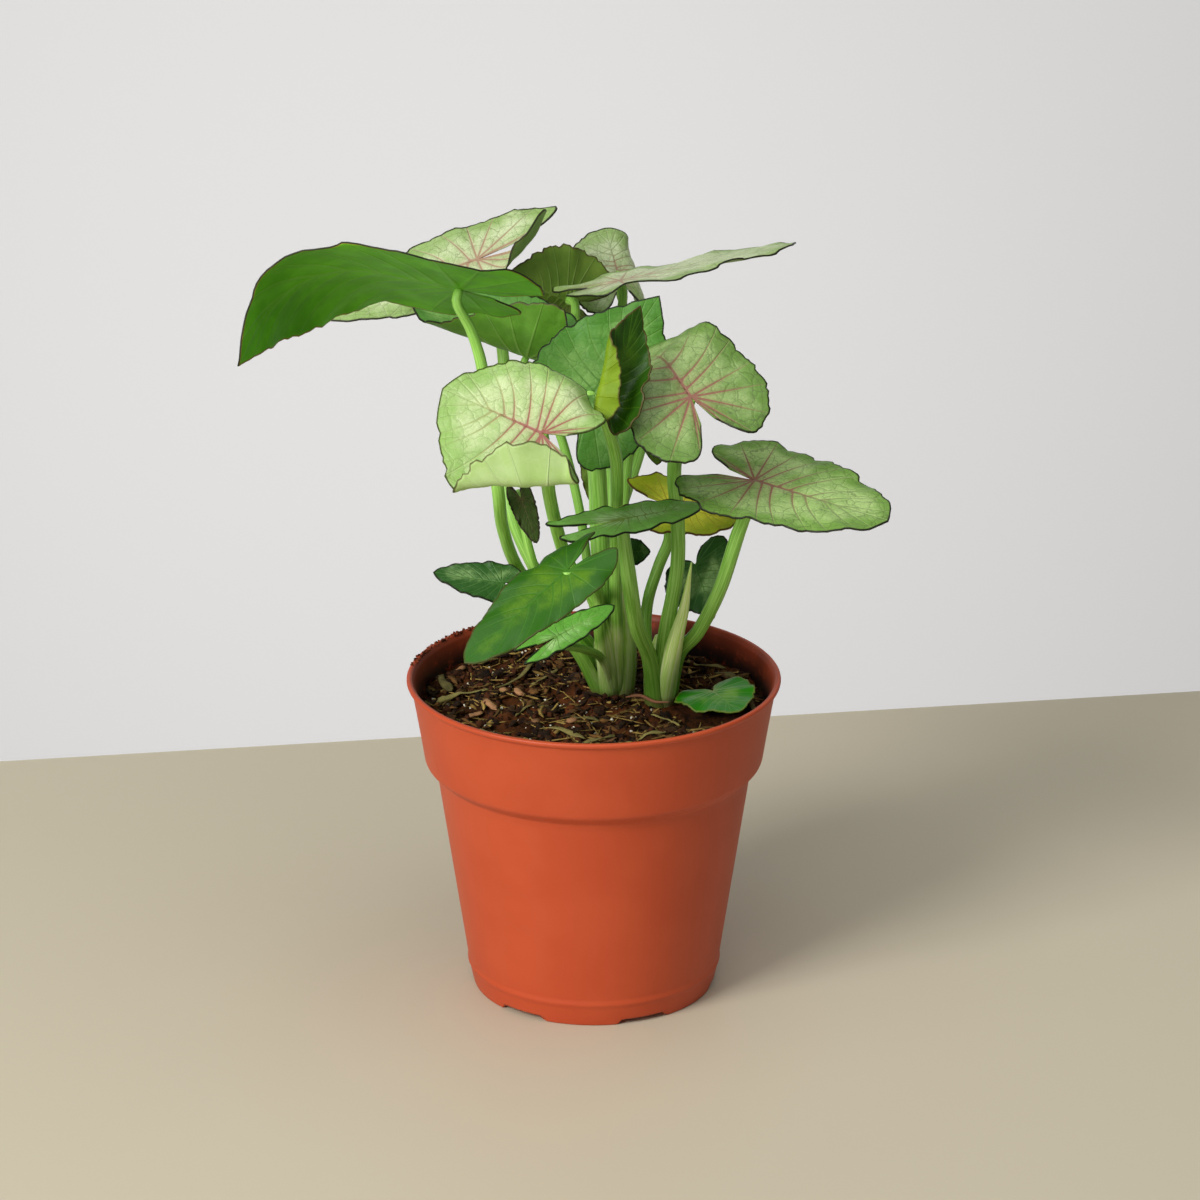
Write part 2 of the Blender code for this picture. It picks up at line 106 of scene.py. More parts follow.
def new_material(name, colour, roughness, ior=1.5):
    """A named Principled material with its constant values on the sockets."""
    material = bpy.data.materials.new(name)
    material.use_nodes = True
    shader = material.node_tree.nodes["Principled BSDF"]
    shader.inputs["Base Color"].default_value = linear(colour)
    shader.inputs["Roughness"].default_value = roughness
    shader.inputs["IOR"].default_value = ior
    shader.inputs["Metallic"].default_value = 0.0
    return material, material.node_tree, shader


def dress(tree, shader, colour, height, strength, depth):
    """Gives a shader its painted colour, and a relief from a height, with a depth in mm."""
    tree.links.new(colour, shader.inputs["Base Color"])
    bump = add(tree, "Bump", {"Height": height, "Strength": strength, "Distance": depth * MM})
    tree.links.new(bump, shader.inputs["Normal"])


def rounded(profile, size):
    """A profile with each corner replaced by a short parabola that starts `size` before it."""
    p = np.array(profile, float)
    out = [p[:1]]
    t = np.linspace(0.0, 1.0, 5)[:, None]
    for before, corner, after in zip(p[:-2], p[1:-1], p[2:]):
        reach_in = min(size, 0.45 * np.linalg.norm(before - corner))
        reach_out = min(size, 0.45 * np.linalg.norm(after - corner))
        a = corner + (before - corner) / np.linalg.norm(before - corner) * reach_in
        b = corner + (after - corner) / np.linalg.norm(after - corner) * reach_out
        out.append(a * (1 - t) ** 2 + corner * 2 * t * (1 - t) + b * t ** 2)
    return np.vstack(out + [p[-1:]])


def make_piece(name, points, quads, fields=None):
    """A smooth mesh object from points in mm and quads; equal points become one, and a quad
    that lost a side becomes a triangle. Fields are values that the materials read at each point."""
    points = np.asarray(points, float).reshape(-1, 3)
    quads = np.asarray(quads).reshape(-1, 4)
    _, first, where = np.unique(
        np.round(points, 4), axis=0, return_index=True, return_inverse=True)
    quads = where.reshape(-1)[quads]
    triangles = np.concatenate([quads[:, [0, 1, 2]], quads[:, [0, 2, 3]]])
    whole = (triangles[:, 0] != triangles[:, 1]) & (triangles[:, 1] != triangles[:, 2])
    triangles = triangles[whole & (triangles[:, 2] != triangles[:, 0])]
    mesh = bpy.data.meshes.new(name)
    mesh.from_pydata((points[first] * MM).tolist(), [], triangles.tolist())
    mesh.shade_smooth()
    for field, values in (fields or {}).items():
        values = np.asarray(values, float)
        single = values.size == len(points)
        layer = mesh.attributes.new(field, "FLOAT" if single else "FLOAT_VECTOR", "POINT")
        layer.data.foreach_set("value" if single else "vector",
                               values.reshape(len(points), -1)[first].ravel())
    piece = bpy.data.objects.new(name, mesh)
    bpy.context.scene.collection.objects.link(piece)
    return piece


def grid_quads(rows, columns, wrap=False, start=0):
    """Corner numbers of the quads of a grid of points; wrap joins the last column to the first."""
    index = np.arange(rows * columns).reshape(rows, columns) + start
    if wrap:
        index = np.concatenate([index, index[:, :1]], axis=1)
    corners = [index[:-1, :-1], index[:-1, 1:], index[1:, 1:], index[1:, :-1]]
    return np.stack(corners, axis=-1).reshape(-1, 4)


def turned(profile, steps):
    """A profile of (radius, height) carried round the vertical axis, as a grid of points."""
    turn = np.arange(steps) / steps * 2.0 * math.pi
    radius, height = profile[:, 0][:, None], profile[:, 1][:, None]
    return np.stack([radius * np.cos(turn), radius * np.sin(turn), height + 0.0 * turn], axis=-1)


pot_inside = [(0.0, FLOOR_TOP), FLOOR_EDGE]
pot_inside += [(radius - WALL, height) for radius, height in POT_OUTSIDE[::-1]
               if height > FLOOR_CORNER]
pot_profile = rounded(pot_inside + POT_LIP + POT_OUTSIDE + POT_UNDERSIDE, CORNER)[::-1]
pot_points = turned(pot_profile, POT_STEPS)

# The notches: near each of their middles the underside of the foot ring is lifted.
turn = np.arange(POT_STEPS) / POT_STEPS * 2.0 * math.pi
apart = 2.0 * math.pi / NOTCHES
from_notch = np.abs((turn - FIRST_NOTCH + apart / 2.0) % apart - apart / 2.0)
notch_lift = np.clip((NOTCH_HALF_TURN - from_notch) / NOTCH_SLOPE, 0.0, 1.0) * FOOT_LIFT
on_foot = np.hypot(pot_points[..., 0], pot_points[..., 1]) > NOTCHED_FROM
lifted = np.maximum(pot_points[..., 2], notch_lift)
pot_points[..., 2] = np.where(on_foot, lifted, pot_points[..., 2])

lip_index = int(np.argmax(pot_profile[:, 1]))
past_lip = (np.arange(len(pot_profile)) > lip_index)[:, None]
is_inside = past_lip & (pot_points[..., 2] > SOILED_FROM)
pot = make_piece("nursery_pot", pot_points, grid_quads(*pot_points.shape[:2], wrap=True),
                 {"soiled": is_inside * 1.0})

# Satin polypropylene: a colour that hardly varies, in clouds of 22 mm, and dry soil dust in
# specks of 4 mm on the inside above the soil, thinner towards the rim. The moulded grain that
# breaks up the shine is drawn at 0.4 mm, as the real one is too fine to show.
plastic, tree, shader = new_material("terracotta polypropylene", "#BD4A25", 0.48, 1.42)
place = add(tree, "TexCoord", {}, "Object")
cloud = add(tree, "TexNoise", {"Vector": place, "Scale": METRE / 22.2, "Detail": 3.0})
tint = coated(tree, "#BA4823", "#BF4D28", cloud, 0.35, 0.65)
dust = add(tree, "TexNoise",
           {"Vector": place, "Scale": METRE / 3.85, "Detail": 6.0, "Roughness": 0.7})
soiled = add(tree, "Attribute", {}, "Fac", attribute_name="soiled")
height = add(tree, "SeparateXYZ", {0: place}, 2)
low_down = add(tree, "MapRange", {0: height, 1: 84.0 * MM, 2: RIM_TOP * MM, 3: 1.0, 4: 0.35},
               interpolation_type="SMOOTHSTEP")
dusty = add(tree, "Math", {0: low_down, 1: soiled}, operation="MULTIPLY")
tint = coated(tree, tint, "#1E0E08", dust, 0.26, 0.47, times=dusty)
grain = add(tree, "TexNoise", {"Vector": place, "Scale": METRE / 0.385, "Detail": 2.0})
dress(tree, shader, tint, grain, 0.12, 0.2)
pot.data.materials.append(plastic)
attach(pot, "root")
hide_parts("pot")


# ---- The soil ----
# Loose potting mix of peat and coir, filled to a finger's width below the rim: dark crumbs with
# tan fibres, flakes of bark and a few white grains of perlite lying on it.

SOIL_LEVEL = 84.0
SOIL_BUMP = 0.9
SOIL_EDGE = 48.6
SOIL_FOOT = 3.1
SOIL_STEPS = 300
SOIL_RINGS = 118
SOIL_WALL = [(48.3, 82.0), (46.0, 69.4), (42.9, 63.2), (42.4, 60.0), (36.8, 24.4), (33.3, 5.0),
             (33.0, SOIL_FOOT), (0.0, SOIL_FOOT)]
LUMPS = ((0.9, 5.0, 1), (0.8, 2.1, 2), (0.5, 0.9, 3))
LEFT_CROWN = (6.0, 8.5)
RIGHT_CROWN = (18.7, 2.0)
CROWN_CLEAR = 6.5
FALLEN_AT = (35.5, -5.0)
FALLEN_CLEAR = 12.5
DENT = 330.0  # the fallen leaf presses the crumbs down as far as the root of this, 18 mm
FIBRES, BARK_FLAKES, CRUMBS, PERLITE_GRAINS, RIM_CRUMBS = 760, 420, 1700, 260, 260
random = np.random.default_rng(7)


def from_crowns(x, y):
    """Distance to the middle of the nearer crown."""
    left = np.hypot(x - LEFT_CROWN[0], y - LEFT_CROWN[1])
    right = np.hypot(x - RIGHT_CROWN[0], y - RIGHT_CROWN[1])
    return np.minimum(left, right)


def soil_height(x, y):
    """Mean height of the soil: its level with a few crossing ripples, flat round the crowns."""
    ripple = np.sin(0.21 * x + 0.13 * y + 0.6) + 0.7 * np.sin(0.34 * y - 0.17 * x + 2.1)
    ripple += 0.6 * np.sin(0.47 * x + 1.0) * np.sin(0.43 * y + 0.4)
    open_ground = np.clip((from_crowns(x, y) - 6.0) / 6.0, 0.0, 1.0)
    return SOIL_LEVEL + SOIL_BUMP * ripple * open_ground


def lattice_noise(x, y, cell, seed):
    """Smooth noise from -1 to 1: random values on a square lattice, eased between its points.
    The lattice starts 100 cells before the origin and repeats after 255."""
    values = np.random.default_rng(seed).uniform(-1.0, 1.0, (256, 256))
    u, v = x / cell + 100.0, y / cell + 100.0
    i, j = np.floor(u).astype(int), np.floor(v).astype(int)
    a, b = u - i, v - j
    a, b = a * a * (3 - 2 * a), b * b * (3 - 2 * b)
    i, j = i % 255, j % 255
    low = values[i, j] * (1 - a) + values[i + 1, j] * a
    high = values[i, j + 1] * (1 - a) + values[i + 1, j + 1] * a
    return low * (1 - b) + high * b


def crumbly_height(x, y):
    """Height of the crumbly surface: the mean height and three sizes of lumps, pressed down
    where the fallen leaf lies. LUMPS holds their heights, widths and seeds."""
    lumps = sum(high * lattice_noise(x, y, wide, seed) for high, wide, seed in LUMPS)
    pressed = np.exp(-((x - FALLEN_AT[0]) ** 2 + (y - FALLEN_AT[1]) ** 2) / DENT)
    return soil_height(x, y) - 0.3 - 0.8 * pressed + (0.85 - 0.7 * pressed) * lumps


rings = np.linspace(0.0, 1.0, SOIL_RINGS)[:, None] ** 0.8 * SOIL_EDGE
turn = np.arange(SOIL_STEPS) / SOIL_STEPS * 2.0 * math.pi
soil_top = np.stack([rings * np.cos(turn), rings * np.sin(turn), 0.0 * rings * turn], axis=-1)
soil_top[..., 2] = crumbly_height(soil_top[..., 0], soil_top[..., 1])
soil_top[0, :, 2] = soil_top[0, 0, 2]
soil_points = np.concatenate([soil_top, turned(np.array(SOIL_WALL), SOIL_STEPS)])
soil_quads = grid_quads(*soil_points.shape[:2], wrap=True)[:, ::-1]
soil = make_piece("soil_mix", soil_points, soil_quads)

# Damp peat with no shine: dark brown with painted shade, nearly black in the hollows, and rust
# brown on its 3 mm lumps, drier and paler in patches of 14 mm.
peat, tree, shader = new_material("damp peat mix", "#35241A", 0.95, 1.2)
place = add(tree, "TexCoord", {}, "Object")
lumps = add(tree, "TexNoise",
            {"Vector": place, "Scale": METRE / 3.125, "Detail": 6.0, "Roughness": 0.65})
patches = add(tree, "TexNoise", {"Vector": place, "Scale": METRE / 14.3, "Detail": 3.0})
# The same noise that raises the lumps darkens their hollows: painted shade.
tint = coated(tree, "#120A05", "#48280F", lumps, 0.36, 0.66)
tint = coated(tree, tint, "#68391C", patches, 0.45, 0.75)
dress(tree, shader, tint, lumps, 0.9, 0.6)
soil.data.materials.append(peat)
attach(soil, "root")
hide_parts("soil")


def strewn(count):
    """Random places on the soil, clear of the crowns and of the fallen leaf, and a random turn
    for each."""
    radius = np.sqrt(random.uniform(0.0, 1.0, count * 2)) * (SOIL_EDGE - 1.5)
    angle = random.uniform(0.0, 2 * math.pi, count * 2)
    x, y = radius * np.cos(angle), radius * np.sin(angle)
    on_leaf = np.hypot(x - FALLEN_AT[0], y - FALLEN_AT[1])
    free = (from_crowns(x, y) > CROWN_CLEAR) & (on_leaf > FALLEN_CLEAR)
    x, y = x[free][:count], y[free][:count]
    return x, y, crumbly_height(x, y), random.uniform(0.0, 2 * math.pi, len(x))


def scattered(shapes, x, y, z, heading, tilt, bank):
    """Copies of shapes (count, points, 3), each banked and tilted at random up to these angles,
    turned to its heading and set at x, y, z."""
    tilt = random.uniform(-tilt, tilt, len(x))
    bank = random.uniform(-bank, bank, len(x))
    ch, sh, ct, st, cb, sb = (wave(turn)[:, None] for turn in (heading, tilt, bank)
                              for wave in (np.cos, np.sin))
    px, py, pz = shapes[..., 0], shapes[..., 1], shapes[..., 2]
    py, pz = py * cb - pz * sb, py * sb + pz * cb
    px, pz = px * ct - pz * st, px * st + pz * ct
    px, py = px * ch - py * sh, px * sh + py * ch
    return np.stack([px + x[:, None], py + y[:, None], pz + z[:, None]], axis=-1)


def strewn_piece(name, shapes, quads, shade, material):
    """One object from many small copies; each copy's shade tells the material how light it is."""
    count, size = shapes.shape[:2]
    all_quads = (quads[None] + np.arange(count)[:, None, None] * size).reshape(-1, 4)
    piece = make_piece(name, shapes, all_quads, {"shade": np.repeat(shade, size)})
    piece.data.materials.append(material)
    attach(piece, "root")
    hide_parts("soil")


def shaded_material(name, dark, light, roughness, grain_size):
    """A dry crumb's material: from dark to light by each copy's shade, with a rough grain whose
    size is in mm, as coarse as it needs to be to show."""
    material, tree, shader = new_material(name, light, roughness, 1.3)
    shade = add(tree, "Attribute", {}, "Fac", attribute_name="shade")
    place = add(tree, "TexCoord", {}, "Object")
    grain = add(tree, "TexNoise", {"Vector": place, "Scale": METRE / grain_size, "Detail": 4.0})
    speckle = add(tree, "Math", {0: grain, 1: 0.8}, operation="MULTIPLY")
    lightness = add(tree, "Math", {0: shade, 1: speckle}, operation="ADD")
    dress(tree, shader, coated(tree, dark, light, lightness, 0.3, 1.5), grain, 0.5, 0.3)
    return material


def closed_tube_shape(segments, sides, fat):
    """A closed unit tube along x: fat gives its half thickness from end to end, nought at both."""
    along = np.linspace(-0.5, 0.5, segments)[:, None]
    around = np.arange(sides) / sides * 2 * math.pi
    thick = fat(along)
    grid = [along + 0.0 * around, thick * np.cos(around), thick * np.sin(around)]
    return (np.stack(grid, axis=-1).reshape(-1, 3),
            grid_quads(segments, sides, wrap=True)[:, ::-1])


# Fibres: bent strips 2 to 16 mm long, shorter near the wall so that none pokes through it. Dry
# coir is tan and hardly shiny.
shape, quads = closed_tube_shape(7, 4, lambda a: np.sqrt(np.clip(1.0 - (2.0 * a) ** 4, 0.0, 1.0)))
x, y, z, heading = strewn(FIBRES)
long = 2.5 + 14.0 * random.uniform(0, 1, len(x)) ** 2.2
long = np.minimum(long, 2.0 * (SOIL_EDGE + 0.3 - np.hypot(x, y)))
wide = 0.1 + 0.7 * random.uniform(0, 1, len(x)) ** 2
curl = (random.uniform(-0.12, 0.12, len(x)) * long)[:, None]
strips = np.stack([shape[:, 0] * long[:, None],
                   shape[:, 1] * wide[:, None] + curl * (4 * shape[:, 0] ** 2 - 0.5),
                   shape[:, 2] * 0.16 + 0.25 * curl * shape[:, 0]], axis=-1)
strips = scattered(strips, x, y, z + 0.25, heading, 0.22, 0.5)
strewn_piece("coir_fibres", strips, quads, random.uniform(0, 1, len(x)),
             shaded_material("dry coir fibre", "#463010", "#B0924E", 0.85, 1.11))

# Bark: flat flakes with blunt, uneven ends, 1 to 7 mm long and mostly dark. Composted bark is
# dull and coarse.
shape, quads = closed_tube_shape(5, 6, lambda a: np.clip(1.0 - (2.0 * np.abs(a)) ** 6, 0.0, 1.0))
x, y, z, heading = strewn(BARK_FLAKES)
long, wide = random.uniform(1.2, 7.0, len(x)), random.uniform(0.4, 1.9, len(x))
long = np.minimum(long, 1.6 * (SOIL_EDGE + 0.4 - np.hypot(x, y)))
ragged = 1.0 + random.uniform(-0.35, 0.35, (len(x), len(shape)))
flakes = np.stack([shape[:, 0] * long[:, None] * ragged, shape[:, 1] * wide[:, None] * ragged,
                   shape[:, 2] * 0.45 * ragged], axis=-1)
flakes = scattered(flakes, x, y, z + 0.2, heading, 0.5, 0.7)
strewn_piece("bark_flakes", flakes, quads, random.uniform(0, 1, len(x)) ** 2.5,
             shaded_material("composted bark", "#1E1006", "#7A552C", 0.9, 1.43))

# Dried strips of old leaves and stems, flat and olive brown, that lie in bows on the soil: their
# two ends, width, bow and lightness. A dried leaf still has a little sheen.
dry_strip = shaded_material("dried leaf strip", "#3E391F", "#968A50", 0.8, 2.0)
STRIPS = [(-45, -3, -29, 6, 2.4, 3, 0.75), (-30, 5, -15, 33, 1.5, -3, 0.5),
          (-40, 8, -44, 20, 3.0, 2, 0.3), (-36, 27, -27, 33, 2.2, 2, 0.6),
          (-14, -24, -2, -30, 2.2, 2, 0.7), (-3, -33, 6, -25, 1.8, -2, 0.55),
          (2, -38, 14, -35, 1.6, 2, 0.9), (12, -30, 20, -24, 1.7, -2, 0.8),
          (-22, -14, -12, -4, 1.2, 2, 0.4), (34, 22, 42, 10, 2.4, 3, 0.35),
          (26, 30, 38, 26, 2.0, -2, 0.5), (40, 4, 45, -8, 2.6, 2, 0.3),
          (-32, -22, -24, -32, 1.6, 2, 0.65), (22, -38, 33, -32, 1.4, -2, 0.5),
          (-6, 38, 14, 40, 2.2, 3, 0.4), (-18, 12, -10, 22, 1.4, -2, 0.6),
          (-8, -12, 2, -16, 1.3, 2, 0.3), (15, -14, 24, -20, 1.2, 1, 0.9)]
shape, quads = closed_tube_shape(
    15, 6, lambda a: np.clip(1.0 - np.abs(2.0 * a) ** 3, 0.0, 1.0) ** 0.5)
lengthwise = shape[:, :1]
strips, shades = [], []
for x0, y0, x1, y1, width, bow, light in STRIPS:
    along, across = np.array([x1 - x0, y1 - y0], float), np.array([y0 - y1, x1 - x0], float)
    across /= np.linalg.norm(across)
    edge = 0.5 * width * (1.0 + 0.25 * np.sin(9.0 * shape[:, 0] + x0)) * shape[:, 1]
    middle = (np.array([x0 + x1, y0 + y1]) / 2 + lengthwise * along
              + bow * (0.5 - 2.0 * lengthwise ** 2) * across)
    flat = middle + edge[:, None] * across
    lift = crumbly_height(middle[:, 0], middle[:, 1]) * 0.5 + (SOIL_LEVEL + 0.5) * 0.5
    twist = 0.35 * np.sin(7.0 * shape[:, 0] + y0) * edge
    arch = 0.5 * (1 - 4 * shape[:, 0] ** 2)
    strips.append(np.column_stack([flat, lift + 0.55 + 0.12 * shape[:, 2] * width + twist + arch]))
    shades.append(light)
strewn_piece("dried_leaf_strips", np.array(strips), quads, np.array(shades), dry_strip)

# Larger chips of bark and husk, each cut blunt: place, length, width, heading and lightness; the
# palest lie in front on the left. Coir husk is fibrous and dull.
CHIPS = [(-21.1, 5.0, 5.5, 2.2, 110, 0.95), (-25.9, 5.0, 3.6, 2.8, 20, 1.0),
         (-29, -5, 6.0, 2.0, -50, 0.8), (-33, -8, 4.5, 3.0, 20, 0.55),
         (-38.5, 24, 6.0, 2.4, 60, 0.7), (-34, 30, 5.0, 2.0, 100, 0.45),
         (-16, -16, 3.4, 2.2, 80, 0.5), (4, -28, 5.5, 1.6, 40, 0.6), (38, 18, 7.0, 2.6, -60, 0.3),
         (42, 8, 5.5, 2.6, -80, 0.35), (24, 24, 6.0, 2.2, -30, 0.4),
         (-6, -20, 3.0, 2.0, 10, 0.65), (-42, -14, 4.0, 1.8, -60, 0.5),
         (10, -40, 4.0, 1.8, 15, 0.6), (-27, -28, 3.6, 1.8, 140, 0.5)]
shape, quads = closed_tube_shape(7, 8, lambda a: np.clip(1.0 - (2.0 * np.abs(a)) ** 8, 0.0, 1.0))
chips = np.array(CHIPS)
x, y, heading = chips[:, 0], chips[:, 1], np.radians(chips[:, 4])
ragged = 1.0 + random.uniform(-0.22, 0.22, (len(chips), len(shape)))
solid = np.stack([shape[:, 0] * chips[:, 2:3] * ragged, shape[:, 1] * chips[:, 3:4] * 0.5 * ragged,
                  shape[:, 2] * 0.55 * ragged], axis=-1)
solid = scattered(solid, x, y, crumbly_height(x, y) + 0.7, heading, 0.25, 0.3)
strewn_piece("husk_chips", solid, quads, chips[:, 5],
             shaded_material("coir husk", "#38220F", "#B4845C", 0.85, 2.5))

# Crumbs of peat, dark and dull, and rounder, paler grains of perlite, a chalky expanded glass.
shape, quads = closed_tube_shape(5, 6, lambda a: np.sqrt(np.clip(0.25 - a ** 2, 0.0, 1.0)))
peat_crumb = shaded_material("peat crumb", "#120A05", "#4E2A14", 0.95, 1.25)
perlite = shaded_material("perlite", "#A8A084", "#E8E4D4", 0.9, 0.833)
for name, count, small, big, material in (
        ("peat_crumbs", CRUMBS, 0.5, 2.3, peat_crumb),
        ("perlite_grains", PERLITE_GRAINS, 0.35, 1.15, perlite)):
    x, y, z, heading = strewn(count)
    across = small + (big - small) * random.uniform(0, 1, len(x)) ** 2
    rough = 1.0 + random.uniform(-0.3, 0.3, (len(x), len(shape), 1))
    lumps = shape[None] * rough * across[:, None, None] * random.uniform(0.7, 1.3, (len(x), 1, 3))
    lumps = scattered(lumps, x, y, z + 0.1 * across, heading, 1.0, 1.0)
    strewn_piece(name, lumps, quads, random.uniform(0, 1, len(x)), material)

# Fine, dusty crumbs that were spilt on the rim while it was filled, at the back on the left.
angle = np.radians(random.uniform(112.0, 172.0, RIM_CRUMBS))
ring = random.uniform(50.5, 52.3, RIM_CRUMBS)
across = 0.2 + 0.7 * random.uniform(0, 1, RIM_CRUMBS) ** 2
rough = 1.0 + random.uniform(-0.3, 0.3, (RIM_CRUMBS, len(shape), 1))
lumps = scattered(shape[None] * rough * across[:, None, None], ring * np.cos(angle),
                  ring * np.sin(angle), RIM_TOP + 0.1 * across, angle, 1.0, 1.0)
strewn_piece("rim_crumbs", lumps, quads, random.uniform(0, 1, RIM_CRUMBS),
             shaded_material("dusty peat crumb", "#341408", "#7E3A20", 0.95, 1.25))


# ---- The pale leaves ----
# Arrowhead blades of a variegated Syngonium, each grown as one sheet under half a millimetre
# thick: milky green above with pinkish ribs, a fine dark net of small veins and a thin crinkled
# margin; plain green below with raised ribs.

BLADE_THICKNESS = 0.45
SINUS_GAP = 1.1
WAVE = 0.8
CRINKLE, CRINKLE_ON_SOIL = 0.38, 0.1
QUILTING = 0.3
QUILT_FROM_RIB, QUILT_FROM_MARGIN = 2.4, 2.5
RAGGED = 0.8
LAID_ABOVE = 0.85  # the fallen leaf's lowest point above the soil's mean height
USUAL_HALF_WIDTH = 14.0  # narrower blades have lower waves and finer teeth
USUAL_SIZE = 28.0  # a blade of this size has ribs of the half widths below, at foot and end
MIDRIB, SIDE_RIB, LOBE_RIB = (0.50, 0.13), (0.30, 0.10), (0.36, 0.10)
RAYS, RINGS, MARGIN_STEPS = 66, 30, 300
# Half an outline in front of the stalk and behind it, as shares of the length and half width.
FRONT_OUTLINE = ((1.00, 0.0), (0.93, 0.10), (0.76, 0.36), (0.52, 0.72), (0.26, 0.95), (0.0, 1.0))
REAR_OUTLINE = ((-0.38, 0.99), (-0.76, 0.83), (-1.0, 0.52), (-0.93, 0.30), (-0.50, 0.09))
# Where the ribs meet the margin, as shares of its run from the tip to the notch.
SIDE_RIBS = (0.06, 0.13, 0.205, 0.285, 0.37, 0.45)
LOBE_RIBS = (0.54, 0.64, 0.76, 0.87, 0.95)
LEAF_IOR = 1.36
stalk_joints = {}


def leaf(at, heading, pitch, roll, length, half_width, lobe, fullness, bends, seed=0,
         left_share=1.0):
    """One leaf: where its stalk joins, how it is turned in degrees, its sizes and its bends.
    left_share is how much wider and longer its left lobe is than the right one."""
    return {"at": np.array(at), "turn": (heading, pitch, roll), "length": length,
            "half_width": half_width, "lobe": lobe, "fullness": fullness, "bends": bends,
            "seed": seed, "left_share": left_share}


def smooth_curve(points, count):
    """A cubic curve through the points, read at even steps along its length. At each point it
    runs parallel to the line from the point before to the point after."""
    p = np.array(points, float)
    p = np.vstack([2 * p[0] - p[1], p, 2 * p[-1] - p[-2]])
    t = np.linspace(0.0, 1.0, 17)[:-1, None]
    spans = [0.5 * (2 * b + (c - a) * t + (2 * a - 5 * b + 4 * c - d) * t**2
                    + (3 * b - a - 3 * c + d) * t**3)
             for a, b, c, d in zip(p[:-3], p[1:-2], p[2:-1], p[3:])]
    line = np.vstack(spans + [p[-2][None]])
    along = np.concatenate([[0.0], np.cumsum(np.linalg.norm(np.diff(line, axis=0), axis=1))])
    wanted = np.linspace(0.0, along[-1], count)
    return np.stack([np.interp(wanted, along, line[:, k]) for k in range(p.shape[1])], axis=1)


def leaf_axes(turn):
    """Unit vectors of a leaf: towards its tip, towards its left side, and out of its top face."""
    heading, pitch, roll = np.radians(turn)
    tip = np.array([math.cos(heading) * math.cos(pitch), math.sin(heading) * math.cos(pitch),
                    math.sin(pitch)])
    level_left = np.array([-math.sin(heading), math.cos(heading), 0.0])
    level_up = np.cross(tip, level_left)
    left = level_left * math.cos(roll) + level_up * math.sin(roll)
    up = level_up * math.cos(roll) - level_left * math.sin(roll)
    return np.stack([tip, left, up])


def roll_up(points, bend):
    """What lies past a line on the blade is rolled round a cylinder that lies along the line:
    its distance past the line becomes an angle on the cylinder, up to the full turn."""
    line_x, line_y, direction, radius, turn = bend
    along = np.array([math.cos(math.radians(direction)), math.sin(math.radians(direction))])
    across = np.array([-along[1], along[0]])
    sign = math.copysign(1.0, turn)
    full_turn = math.radians(abs(turn))
    flat = points[..., :2] - np.array([line_x, line_y])
    reach, side, height = flat @ along, flat @ across, points[..., 2] * sign
    angle = np.clip(reach / radius, 0.0, full_turn)
    past = np.maximum(reach - radius * full_turn, 0.0)
    new_reach = np.minimum(reach, 0.0) + (radius - height) * np.sin(angle) + past * np.cos(angle)
    new_height = (radius - (radius - height) * np.cos(angle) + past * np.sin(angle)) * sign
    moved = np.array([line_x, line_y]) + new_reach[..., None] * along + side[..., None] * across
    return np.concatenate([moved, new_height[..., None]], axis=-1)


def distance_to_line(points, line):
    """Distance from each point of a flat grid to a line of points."""
    a, b = line[:-1], line[1:]
    span = b - a
    share = ((points[..., None, :] - a) * span).sum(-1) / np.maximum((span ** 2).sum(-1), 1e-9)
    nearest = a + np.clip(share, 0.0, 1.0)[..., None] * span
    return np.linalg.norm(points[..., None, :] - nearest, axis=-1).min(-1)


